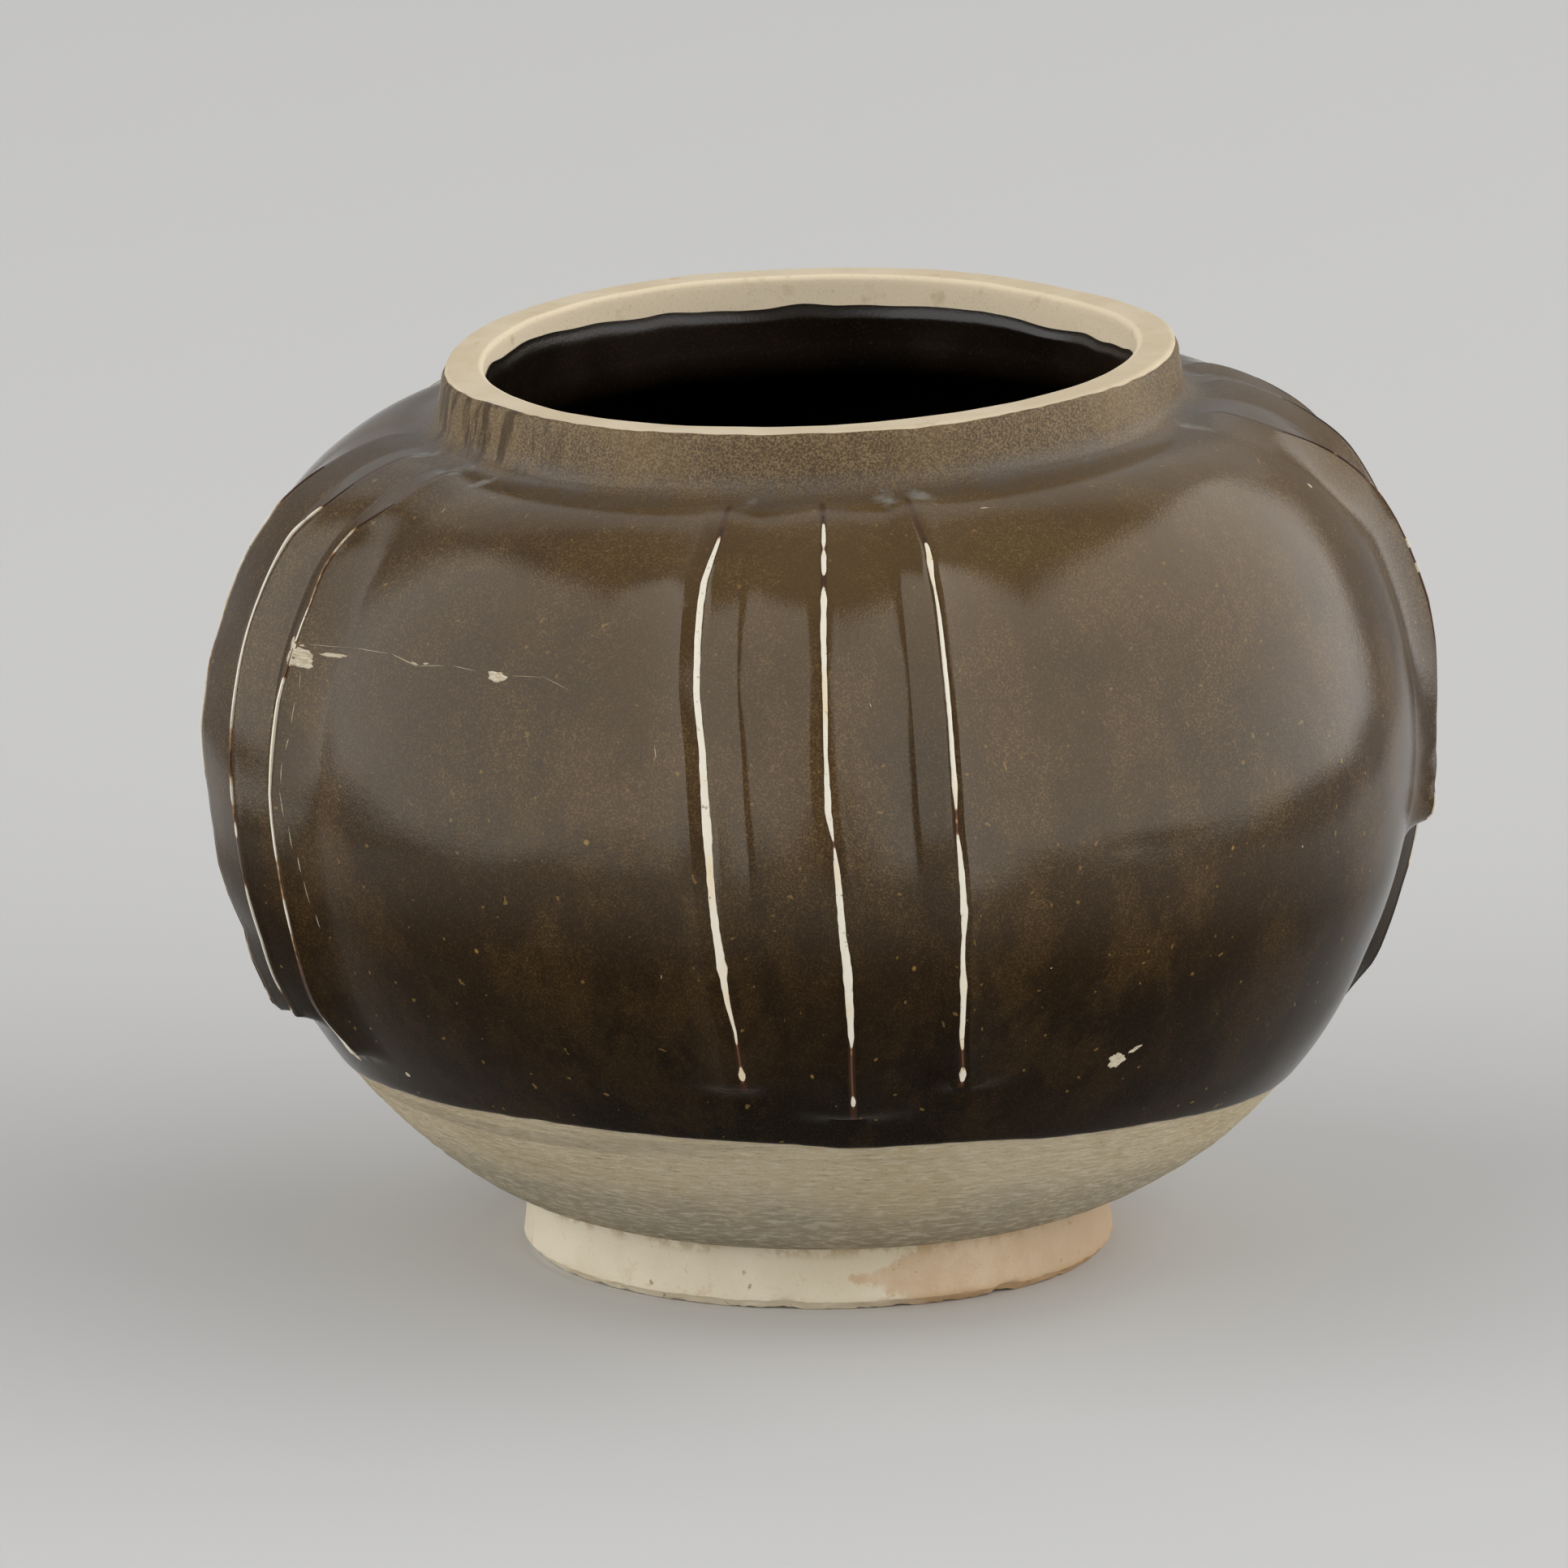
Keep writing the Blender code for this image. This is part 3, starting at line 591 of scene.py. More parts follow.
def chance_widths(end):
    """A crest with a bead at its end, a covered neck above the bead, and a swelling middle: (height, width)."""
    widths = [(end - 0.4, 0.0), (end + 0.8, chance.uniform(0.8, 1.2)), (end + 2.4, 0.1)]
    widths += [(end + rise, chance.uniform(0.05, 0.3)) for rise in (4.0, 6.5)]
    middle = np.arange(54.0, 118.0, 4.0)
    widths += list(zip(middle, chance.uniform(0.55, 1.25, len(middle))))
    return widths + [(121.0, chance.uniform(0.3, 0.7)), (chance.uniform(121.8, 123.6), 0.0)]


ribs = []
for group, centre in GROUPS.items():
    for number, place in ((1, -1), (2, 0), (3, 1)):
        name = f"{group}_{number}"
        end = RIB_END_HEIGHT if place else LONG_RIB_END_HEIGHT
        azimuth = centre + place * RIB_PITCH
        run, widths = chance_run(azimuth), chance_widths(end * 1000.0)
        if name in MEASURED_RUNS:
            run = [(height, angle % 360.0 if centre > 180.0 else angle) for height, angle in MEASURED_RUNS[name]]
        ribs.append({
            "name": name, "group": group, "azimuth": azimuth, "run": np.array(run),
            "end": MEASURED_ENDS.get(name, end),
            "widths": np.array(MEASURED_WIDTHS.get(name, widths)),
            "lifts": np.array(MEASURED_LIFTS.get(name, [(40, 0), (124, 0)])),
        })
ribs.sort(key=lambda rib: rib["azimuth"])
print("ribs:", len(ribs), "from", ribs[0]["name"], "to", ribs[-1]["name"])

# %% Where a rib is and how high it stands
CREST_HEIGHT = 0.0032
RIB_TOP_SHARE = 0.35
RIB_TOP_BAND = 0.0120
RIB_END_SHARE = 0.66
RIB_END_BAND = 0.0090
END_ROUNDING = 0.0022


def rib_azimuth(rib, height):
    """The rib's azimuth in radians at a height in metres."""
    return np.radians(np.interp(height * 1000.0, rib["run"][:, 0], rib["run"][:, 1]))


def bare_width(rib, height):
    """How wide the rib's crest shows bare, in metres."""
    return np.interp(height * 1000.0, rib["widths"][:, 0], rib["widths"][:, 1]) / 1000.0


def crest_height(rib, height):
    """How far the rib's crest stands off the clay: low at the neck, full over the belly, blunt at the end."""
    rise = RIB_TOP_SHARE + (1.0 - RIB_TOP_SHARE) * smooth_step((0.1252 - height) / RIB_TOP_BAND)
    fall = RIB_END_SHARE + (1.0 - RIB_END_SHARE) * smooth_step((height - rib["end"]) / RIB_END_BAND)
    past = smooth_step((height - rib["end"] + END_ROUNDING) / END_ROUNDING)
    lift = np.interp(height * 1000.0, rib["lifts"][:, 0], rib["lifts"][:, 1]) / 1000.0
    return (CREST_HEIGHT * np.minimum(rise, fall) + lift) * past


print("crests at 80 mm stand off by", [round(float(crest_height(rib, 0.08)) * 1000.0, 1) for rib in ribs], "mm")

# %% [markdown]
# ## The brown glaze coat
# The jar was dipped upside down, so one coat runs from the lip over the shoulder to an uneven line above
# the foot. It lies over each rib like a tent over its pole: the crest is a narrow flat, and its flanks fall
# to a valley where they meet those of the next rib. The coat starts as a spun skin. Its columns are then
# slid round the jar so that they crowd at the ribs and follow their runs, and each vertex is lifted by the
# bank's height. How near a vertex lies to a crest is stored with it for the finish.

# %% Banks and valleys
COAT_FACE = 0.00035
CREST_FLATS = {"front_1": (2.5, 0.3), "front_2": (1.9, 0.3), "front_3": (0.3, 1.1)}
VALLEY_SHARES = {"front_1": 0.32, "front_2": 0.71}
OUTER_REACH = 9.0
OUTER_REACHES = {"front_1": 15.0, "front_3": 15.0}
VALLEY_START = 0.955
CREST_LEANS = {"front_1": 1.085, "front_3": 1.085}

for place, rib in enumerate(ribs):
    rib["flats"] = CREST_FLATS.get(rib["name"], (0.5, 0.3))
    rib["after"] = ribs[(place + 1) % len(ribs)]
    rib["before"] = ribs[place - 1]
    rib["valley"] = VALLEY_SHARES.get(rib["name"], 0.55)
    rib["outer"] = OUTER_REACHES.get(rib["name"], OUTER_REACH)


def gap_after(rib, height):
    """The turn in radians from a rib to the next one at a height."""
    return (rib_azimuth(rib["after"], height) - rib_azimuth(rib, height)) % math.tau


def reach(rib, side, height, ring_radius):
    """How far in mm the bank on one side of a rib reaches: to a shared valley, or to the open wall."""
    neighbour = rib["after"] if side > 0 else rib["before"]
    if neighbour["group"] != rib["group"]:
        return np.full(np.shape(height), rib["outer"])
    share = rib["valley"] if side > 0 else 1.0 - neighbour["valley"]
    return share * gap_after(rib if side > 0 else neighbour, height) * ring_radius * 1000.0


print("gaps between ribs at 80 mm:", [round(math.degrees(gap_after(rib, 0.08)), 1) for rib in ribs])

# %% The columns of the coat
CREST_OFFSETS = (0.25, 0.6)
FLANK_SHARES = (0.0, 0.05, 0.12, 0.22, 0.35, 0.50, 0.65, 0.79, 0.88, 0.93, 0.97, 1.0)
OPEN_COLUMN_STEP = 2.15
OPEN_RADIUS = 90.0

columns = []
for rib in ribs:
    flanks = []
    for side in (-1, 1):
        flat = rib["flats"][0 if side < 0 else 1]
        shares = FLANK_SHARES
        if side < 0 and rib["before"]["group"] == rib["group"]:
            shares = FLANK_SHARES[:-1]
        flank = [{"rib": rib, "side": side, "offset": offset} for offset in CREST_OFFSETS]
        shares = [share for share in shares if flat + 8.0 * share > 0.8]
        flank += [{"rib": rib, "side": side, "offset": flat, "share": share} for share in shares]
        flanks.append(flank)
    columns += flanks[0][::-1] + flanks[1]
    if rib["after"]["group"] != rib["group"]:
        turn = math.tau if rib is ribs[-1] else 0.0
        open_arc = math.radians(rib["after"]["azimuth"] - rib["azimuth"]) + turn
        open_arc -= (rib["outer"] + rib["after"]["outer"]) / OPEN_RADIUS
        count = round(open_arc * OPEN_RADIUS / OPEN_COLUMN_STEP)
        columns += [{"rib": rib, "open": step / count} for step in range(1, count)]
print("glaze columns:", len(columns))

# %% The rows of the coat
COLLAR_END_HEIGHT = 0.1288
COLLAR_SLOPE = (COLLAR_FOOT_RADIUS - LIP_RADIUS) / (0.0100 - LIP_ROUNDING)
collar_end = (COLLAR_FOOT_RADIUS - COLLAR_SLOPE * (COLLAR_END_HEIGHT - SHOULDER_TOP_HEIGHT), COLLAR_END_HEIGHT)
lip_path = [(LIP_RADIUS - 0.003, LIP_HEIGHT)] + rounded_corner(LIP_RADIUS, 1, 8)[::-1]
lip_path = np.array(lip_path + straight(outer_corner[0], collar_end, 12)[1:])
lip_path_length = np.concatenate([[0.0], np.cumsum(np.hypot(*np.diff(lip_path, axis=0).T))])
corner_length = lip_path_length[5]
# How far below the lip's corner the coat starts: (azimuth in degrees, length in mm).
GLAZE_TOP = np.array([
    (-90, 1.2), (-60, -0.25), (-45, -0.25), (-33, -0.1), (-21, -0.15), (-9.5, -0.15), (-1, -0.1), (10, 0.05),
    (21, 0.35), (34, 0.1), (48, 0), (70, 0.5), (90, 0.7), (135, 0.9), (180, 0.6), (225, 1), (270, 1.4),
])
COLLAR_SHARES = (0.0, 0.025, 0.06, 0.11, 0.18, 0.27, 0.38, 0.5, 0.62, 0.74, 0.86, 1.0)


def collar_rows_from(top):
    """Rows of the coat down the collar, from a length below the lip's corner, in mm."""
    lengths = corner_length + top / 1000.0
    lengths = lengths + (lip_path_length[-1] - lengths) * np.array(COLLAR_SHARES)
    return list(zip(*(np.interp(lengths, lip_path_length, lip_path[:, axis]) for axis in (0, 1))))


collar_rows = collar_rows_from(0.4)
cove_start, cove_end = np.array(collar_rows[-1]), np.array((0.0616, 0.12588))
cove_corner = np.array((0.0562, 0.1261))
cove_rows = []
for share in np.linspace(0.0, 1.0, 8)[1:]:
    spot = cove_start * (1 - share) ** 2 + cove_corner * 2 * share * (1 - share) + cove_end * share**2
    cove_rows.append(tuple(spot))
shoulder_rows = quarter(SHOULDER_TOP_RADIUS, SHOULDER_TOP_HEIGHT, BODY_RADIUS, SHOULDER_CURVE, 44)
shoulder_rows = [row for row in shoulder_rows if row[0] > 0.0624]
BELLY_SHARES = list(np.linspace(0.0, 0.985, 38)[1:]) + [0.9925, 0.9975, 1.0]
TOP_FACE = (0.00003, 0.00012, 0.00022, 0.00030)
EDGE_FACE = (0.00030, 0.00018, 0.00002)
print("glaze rows:", len(collar_rows), len(cove_rows), len(shoulder_rows), len(BELLY_SHARES))

# %% The coat's lower edge
# (azimuth in degrees, height in mm).
GLAZE_LINE = np.array([
    (-90, 30.6), (-75, 30.9), (-58, 32.5), (-48, 33), (-40, 33.7), (-33, 33.9), (-26.5, 33.85), (-20, 33.85),
    (-14.5, 33.7), (-9, 33.65), (-3, 33.4), (0.5, 32.9), (2.5, 32.7), (5, 32.8), (8, 32.8), (14, 33.05),
    (20, 32.75), (26, 32.2), (33, 31.95), (40, 31.7), (48, 31), (58, 30.1), (71, 29.2), (90, 29.4), (120, 31.2),
    (150, 32), (180, 31.4), (210, 32.4), (240, 31.6), (270, 30.6),
])


def glaze_line(azimuth):
    """The height of the glaze's lower edge at azimuths in radians, with small waves."""
    turned = (np.degrees(azimuth) + 90.0) % 360.0 - 90.0
    flat = np.stack([np.sin(azimuth), np.cos(azimuth), 0.0 * azimuth], axis=1) * 0.07
    waves = 0.00012 * uneven(flat, 0.007, 11) + 0.00012 * uneven(flat, 0.0028, 12)
    return np.interp(turned, GLAZE_LINE[:, 0], GLAZE_LINE[:, 1]) / 1000.0 + waves


def offset_at(column, height, ring_radius):
    """How far in mm a bank column lies from its crest."""
    far = column["offset"]
    if "share" in column:
        far = far + column["share"] * np.maximum(reach(column["rib"], column["side"], height, ring_radius) - far, 0.5)
    return far


def column_azimuth(column, height, ring_radius):
    """Where a column runs at a height: beside its rib, or over the open wall between two ribs."""
    rib, ring = column["rib"], np.maximum(ring_radius, SHOULDER_TOP_RADIUS)
    if "open" not in column:
        return rib_azimuth(rib, height) + column["side"] * offset_at(column, height, ring) / 1000.0 / ring
    start, end = rib["outer"] / 1000.0 / ring, rib["after"]["outer"] / 1000.0 / ring
    return rib_azimuth(rib, height) + start + (gap_after(rib, height) - start - end) * column["open"]


line_azimuths = np.array([float(column_azimuth(column, 0.0400, 0.078)) for column in columns])
line_heights = glaze_line(line_azimuths)
collar_round = np.stack([np.sin(line_azimuths), np.cos(line_azimuths), 0 * line_azimuths], axis=1) * 0.055
top_wave = 0.22 * uneven(collar_round, 0.0032, 13)
print("glaze line from", round(line_heights.min() * 1000.0, 1), "to", round(line_heights.max() * 1000.0, 1), "mm")

# %% Laying the coat
CREST_NEARNESS = 0.62


def coat_place(column, number):
    """The coat's outer face down one column: places, banks and nearness to the crest."""
    belly = []
    for share in BELLY_SHARES:
        height = WIDEST_HEIGHT + (line_heights[number] - WIDEST_HEIGHT) * share
        belly.append((float(wall_radius(height)), height))
    turned = (math.degrees(line_azimuths[number]) + 90.0) % 360.0 - 90.0
    top = np.interp(turned, GLAZE_TOP[:, 0], GLAZE_TOP[:, 1]) + top_wave[number]
    rows = np.array(collar_rows_from(top) + cove_rows + shoulder_rows + belly)
    slopes = np.gradient(rows, axis=0)
    length = np.hypot(slopes[:, 0], slopes[:, 1])
    out_radius, out_height = -slopes[:, 1] / length, slopes[:, 0] / length
    face = np.full(len(rows), COAT_FACE)
    face[:4], face[-3:] = TOP_FACE, EDGE_FACE
    bank = np.zeros(len(rows))
    near = np.zeros(len(rows))
    if "open" not in column:
        rib = column["rib"]
        on_wall = smooth_step((rows[:, 0] - 0.0565) / 0.006)
        offset = offset_at(column, rows[:, 1], np.maximum(rows[:, 0], SHOULDER_TOP_RADIUS))
        share = column.get("share", 0.0)
        fall = (1.0 - share) ** (1.8 * (rib["outer"] / OUTER_REACH) ** 0.5)
        if (rib["after"] if column["side"] > 0 else rib["before"])["group"] == rib["group"]:
            fall = max(1.0 - share / VALLEY_START, 0.0)
        if column["offset"] > 1.0 and "share" in column:
            fall *= CREST_LEANS.get(rib["name"], 1.0)
        bank = np.maximum(crest_height(rib, rows[:, 1]) - COAT_FACE, 0.0) * fall * on_wall
        near = np.exp(-((offset / CREST_NEARNESS) ** 2)) * (rows[:, 1] > rib["end"] - 0.001) * on_wall
    azimuths = column_azimuth(column, rows[:, 1], rows[:, 0])
    ring = rows[:, 0] + out_radius * (face + bank)
    height = rows[:, 1] + out_height * (face + bank)
    return np.stack([ring * np.sin(azimuths), -ring * np.cos(azimuths), height], axis=1), bank, near


belly_rows = [WIDEST_HEIGHT - 0.047 * share for share in BELLY_SHARES]
plain_rows = collar_rows + cove_rows + shoulder_rows + [(float(wall_radius(h)), h) for h in belly_rows]
coat = throw("brown_glaze_coat", plain_rows, len(columns))
points = points_of(coat)
row_heights = np.array([height for _, height in plain_rows])
column_numbers = np.round(np.arctan2(points[:, 1], points[:, 0]) / math.tau * len(columns)).astype(int) % len(columns)
row_numbers = np.abs(points[:, 2][:, None] - row_heights[None, :]).argmin(axis=1)
grid = [coat_place(column, number) for number, column in enumerate(columns)]
points = np.array([grid[c][0][r] for c, r in zip(column_numbers, row_numbers)])
bank = np.array([grid[c][1][r] for c, r in zip(column_numbers, row_numbers)])
near = np.array([grid[c][2][r] for c, r in zip(column_numbers, row_numbers)])
print("glaze coat vertices:", len(points), "rows:", len(plain_rows))

# %% [markdown]
# ## Ripples and dents in the glaze
# A hand-thrown wall is never true, and a glaze that ran is thicker in some places than in others. Broad
# dents bend the reflections, and two low swellings and a hollow lie right of the front ribs. Solidify then
# gives the skin its thickness, towards the clay, so the face that shows stays where it was laid.

# %% Ripples and dents in the glaze
DENT_DEPTHS = (0.00030, 0.00010)
THROWING_DEPTH = 0.00005
THROWING_STEP = 0.0052
# (azimuth, height in m, half width, half height and rise in mm).
SWELLINGS = [(34.0, 0.0812, 8.0, 1.1, 0.16), (31.1, 0.0768, 1.6, 1.2, 0.16), (22.0, 0.0835, 6.0, 0.9, -0.08)]

ring = np.hypot(points[:, 0], points[:, 1])
open_wall = smooth_step((0.1245 - points[:, 2]) / 0.004) * smooth_step((points[:, 2] - 0.033) / 0.003)
dents = DENT_DEPTHS[0] * uneven(points, (0.030, 0.030, 0.022), 14)
dents += DENT_DEPTHS[1] * uneven(points, (0.010, 0.010, 0.007), 15)
throwing = THROWING_DEPTH * np.sin(points[:, 2] / THROWING_STEP + 2.0 * uneven(points, 0.05, 16))
lumps = (dents + throwing - 0.0001) * open_wall
on_collar = smooth_step((points[:, 2] - 0.1265) / 0.002) * smooth_step((0.1342 - points[:, 2]) / 0.001)
lumps += on_collar * 0.00010 * uneven(points, (0.008, 0.008, 0.004), 17)
azimuth = np.arctan2(points[:, 0], -points[:, 1])
points[:, :2] *= (1.0 + lumps / ring)[:, None]

swell = 0.0
for spot, height, wide, tall, rise in SWELLINGS:
    across = ((np.degrees(azimuth) - spot + 180.0) % 360.0 - 180.0) * math.radians(1.0) * ring * 1000.0
    swell = swell + rise * np.exp(-((across / wide) ** 2) - ((points[:, 2] - height) * 1000.0 / tall) ** 2)
points[:, :2] *= (1.0 + swell / 1000.0 / ring)[:, None]
put_points(coat, settle(points))
layer = coat.data.attributes.new("crest", "FLOAT", "POINT")
layer.data.foreach_set("value", near.astype(np.float32))
print("lumps in mm:", round(lumps.min() * 1000.0, 2), "to", round(lumps.max() * 1000.0, 2))

# %% The coat's thickness
COAT_THICKNESS = 0.00050

start_clean()
coat.select_set(True)
bpy.context.view_layer.objects.active = coat
outward = sum(face.normal.dot(face.center) for face in list(coat.data.polygons)[::97])
if outward < 0.0:
    bpy.ops.object.mode_set(mode="EDIT")
    bpy.ops.mesh.select_all(action="SELECT")
    bpy.ops.mesh.flip_normals()
    bpy.ops.object.mode_set(mode="OBJECT")
thickness = coat.modifiers.new("thickness", "SOLIDIFY")
thickness.thickness = COAT_THICKNESS
thickness.offset = -1.0
bpy.ops.object.modifier_apply(modifier=thickness.name)
print("glaze coat faces:", len(coat.data.polygons))

# %% [markdown]
# ## Where the glaze flaked off
# The glaze has chipped, and a hairline crack and a scratch cross the left side. There the clay of the wall
# shows, so each bare place is a flake of the wall's own clay with a torn outline. It starts as a circle,
# is pressed onto the glaze's face, gets a thickness, and is joined to the thrown wall.

# %% Where the glaze flaked off
# Each place is (azimuth in degrees, height, half width and half height in mm, turn in degrees).
BARE_PLACES = [
    (-59.9, 100.2, 3.5, 1.35, 8), (-61.2, 102.1, 1.9, 0.9, -20), (-55.8, 102.4, 2.6, 0.3, 10),
    (-33.4, 104.3, 1.9, 0.85, -8), (32.3, 44.7, 1.45, 1.3, 20), (34.4, 46.1, 1.3, 0.35, 28),
    (-64.6, 36.6, 1.5, 0.9, -35), (74.8, 117.2, 0.3, 0.6, 30), (168, 47, 1.6, 1.1, 15),
    (236, 92, 1.1, 0.7, -20), (-52.7, 36.9, 0.55, 0.4, 0),
]
CRACK = [
    (-56.8, 103.4, 4.6, 0.035, 11), (-50.3, 104.6, 4.3, 0.045, 3), (-45.6, 104.4, 3, 0.06, -10),
    (-41.6, 104.4, 2.8, 0.05, 8), (-37.6, 104.8, 2.6, 0.045, -3), (-30, 104.8, 2.6, 0.035, 3),
    (-26.6, 104.3, 2.4, 0.03, -20), (-44, 104.2, 0.9, 0.18, -12), (-42.6, 104.5, 0.5, 0.16, 10),
]
SCRATCHES = [
    (-59.3, 97.2, 0.05, 1.3, 4), (-59.6, 92, 0.06, 1.8, -3), (-59.9, 87, 0.07, 1, -10),
    (-60.3, 82.6, 0.06, 1.6, 0), (-60.1, 77.4, 0.07, 1.9, 12), (-59.2, 73, 0.07, 1.6, 10),
    (-58.4, 69.2, 0.08, 1.1, 8), (-57.9, 65, 0.05, 1.9, 8), (-57.2, 60.6, 0.06, 1.2, 6),
    (53.1, 73.3, 0.12, 0.22, 15), (22.7, 124.9, 0.62, 0.13, 0), (-51.8, 123.6, 0.06, 0.6, 20),
    (5.4, 102, 0.07, 0.35, 20), (-15.2, 61.5, 0.07, 0.4, -10), (22.9, 61.7, 0.14, 0.12, 0),
    (-15.4, 95.2, 0.08, 0.8, 10),
]
print("chips:", len(BARE_PLACES), "lengths of crack:", len(CRACK), "scratches:", len(SCRATCHES))

# %% Laying the flakes
FLAKE_SIDES = 26
FLAKE_FACE = 0.00006
FLAKE_THICKNESS = 0.00040
TORN_DEPTH = 0.42
FRESH_SIZE = 0.3


def surface_frame(azimuth, height, turn=0.0):
    """A point on the glaze at an azimuth (degrees) and a height (mm), with the directions along, up and out."""
    def point_at(azimuth, height):
        ring, angle = float(wall_radius(height / 1000.0)) + COAT_FACE, math.radians(azimuth)
        return Vector(settle(np.array([[ring * math.sin(angle), -ring * math.cos(angle), height / 1000.0]]))[0])

    centre = point_at(azimuth, height)
    along = (point_at(azimuth + 0.5, height) - centre).normalized()
    up = (point_at(azimuth, height + 0.3) - centre).normalized()
    out = along.cross(up).normalized()
    up, turn = out.cross(along), math.radians(turn)
    return centre, along * math.cos(turn) + up * math.sin(turn), up * math.cos(turn) - along * math.sin(turn), out


def lay_flake(azimuth, height, half_width, half_height, turn, number):
    """A torn patch of bare clay on the glaze's face."""
    start_clean()
    bpy.ops.mesh.primitive_circle_add(vertices=FLAKE_SIDES, radius=1.0, fill_type="TRIFAN", location=(0.0, 0.0, 0.0))
    flake = bpy.context.object
    bpy.ops.object.mode_set(mode="EDIT")
    bpy.ops.mesh.select_all(action="SELECT")
    bpy.ops.mesh.subdivide(number_cuts=3)
    bpy.ops.object.mode_set(mode="OBJECT")
    centre, along, up, out = surface_frame(azimuth, height, turn)
    flat = points_of(flake)
    angle = np.arctan2(flat[:, 1], flat[:, 0])
    rim = np.stack([np.cos(angle), np.sin(angle), 0.0 * angle], axis=1)
    torn = uneven(rim, 0.75, number) + 0.6 * uneven(rim, 0.3, number + 50)
    spread = np.hypot(flat[:, 0], flat[:, 1])
    flat = flat * (1.0 + TORN_DEPTH * torn * spread)[:, None]
    places = []
    for (u, v, _), edge in zip(flat, spread):
        guess = centre + along * (u * half_width / 1000.0) + up * (v * half_height / 1000.0)
        _, near, normal, _ = coat.ray_cast(guess + out * 0.010, -out)
        places.append(near + normal * (FLAKE_FACE if edge < 0.95 else -0.00002))
    put_points(flake, places)
    layer = flake.data.attributes.new("fresh", "FLOAT", "POINT")
    layer.data.foreach_set("value", [1.0 if min(half_width, half_height) > FRESH_SIZE else 0.4] * len(places))
    body = flake.modifiers.new("thickness", "SOLIDIFY")
    body.thickness = FLAKE_THICKNESS
    body.offset = -1.0
    bpy.ops.object.modifier_apply(modifier=body.name)
    return flake


flakes_laid = [lay_flake(*spot, number) for number, spot in enumerate(BARE_PLACES + CRACK + SCRATCHES)]
start_clean()
for flake in flakes_laid:
    flake.select_set(True)
wall.select_set(True)
bpy.context.view_layer.objects.active = wall
bpy.ops.object.join()
print("bare places:", len(flakes_laid))

# %% [markdown]
# ## The inner glaze
# Inside, the glaze stops below the lip in a wavy edge where the band was wiped. The coat is a closed
# outline, spun, and its upper rows are then moved up and down round the jar.

# %% The inner glaze
INNER_COLUMNS = 320
WIPED_BAND = 0.0040
INNER_THICKNESS = 0.0006
# How far the edge rises above an even ring or, below 0, dips under it: (azimuth in degrees, rise in mm).
INNER_EDGE = np.array([
    (0, 0), (100, -0.4), (125, -0.8), (150, -0.8), (178, -0.6), (190, 0), (215, 0.2), (250, 0.5), (300, 0),
])

inner_face = straight((MOUTH_RADIUS, LIP_HEIGHT - WIPED_BAND), (NECK_HOLE_RADIUS, SHOULDER_TOP_HEIGHT), 14)
inner_face += inside_top(22)
inner_face += quarter(FLOOR_INSIDE_RADIUS, FLOOR_HEIGHT, BODY_RADIUS - WALL_THICKNESS, BELLY_CURVE, 22)[-2::-1]
inner_face = np.array(inner_face + [(0.02, FLOOR_HEIGHT), (0.01, FLOOR_HEIGHT), (0.0, FLOOR_HEIGHT)])
slopes = np.gradient(inner_face, axis=0)
length = np.hypot(slopes[:, 0], slopes[:, 1])
inward = np.stack([slopes[:, 1] / length, -slopes[:, 0] / length], axis=1)
inward[-3:] = (0.0, 1.0)
shown = inner_face + inward * INNER_THICKNESS * smooth_step(np.arange(len(inner_face)) / 5.0)[:, None]
back = inner_face - inward * 0.0001
shown[-1, 0] = back[-1, 0] = 0.0
inner_coat = throw("inner_glaze_coat", [tuple(p) for p in back[::-1]] + [tuple(p) for p in shown], INNER_COLUMNS)
points = points_of(inner_coat)
azimuth = np.arctan2(points[:, 0], -points[:, 1])
round_mouth = np.stack([np.sin(azimuth), np.cos(azimuth), 0.0 * azimuth], axis=1) * 0.0485
wave = 0.0010 * uneven(round_mouth, 0.022, 21) + 0.0006 * uneven(round_mouth, 0.007, 22)
wave -= 0.0009 * np.exp(-(((np.degrees(azimuth) + 360.0) % 360.0 - 192.0) / 7.0) ** 2)
wave += np.interp(np.degrees(azimuth) % 360.0, INNER_EDGE[:, 0], INNER_EDGE[:, 1] / 1000.0)
points[:, 2] += wave * smooth_step((points[:, 2] - 0.1275) / 0.004)
put_points(inner_coat, settle(points))
print("inner glaze edge waves by", round(float(np.ptp(wave)) * 1000.0, 2), "mm")

# %% [markdown]
# ## The slip threads
# Each rib is a thread of white slip that was squeezed from a nozzle, so it swells, pinches and ends in a
# bead. Its crest stands just proud of the glaze where the glaze broke from it, and dips under where the
# glaze held. A rod is cut into short lengths once, and a copy of it is laid along every rib.

# %% A rod to copy
THREAD_SIDES = 12
ROD_CUTS = (24, 9)

start_clean()
bpy.ops.mesh.primitive_cylinder_add(vertices=THREAD_SIDES, radius=1.0, depth=2.0, end_fill_type="TRIFAN")
rod = bpy.context.object
rod.name = "rod"
for cuts in ROD_CUTS:
    bpy.ops.object.mode_set(mode="EDIT")
    bpy.ops.mesh.select_mode(type="EDGE")
    bpy.ops.mesh.select_all(action="DESELECT")
    bpy.ops.object.mode_set(mode="OBJECT")
    for edge in rod.data.edges:
        start, end = (rod.data.vertices[v].co for v in edge.vertices)
        edge.select = abs(start.z - end.z) > 0.0001
    bpy.ops.object.mode_set(mode="EDIT")
    bpy.ops.mesh.subdivide(number_cuts=cuts)
bpy.ops.mesh.select_mode(type="VERT")
bpy.ops.object.mode_set(mode="OBJECT")
rod_points = points_of(rod)
print("rod faces:", len(rod.data.polygons))

# %% The slip threads
THREAD_PROUD = 0.00011
THREAD_COVERED = 0.00003
THREAD_DEPTH = 0.00060
THREAD_ROUGHNESS = 0.16
SLOPE_STEP = 0.0002


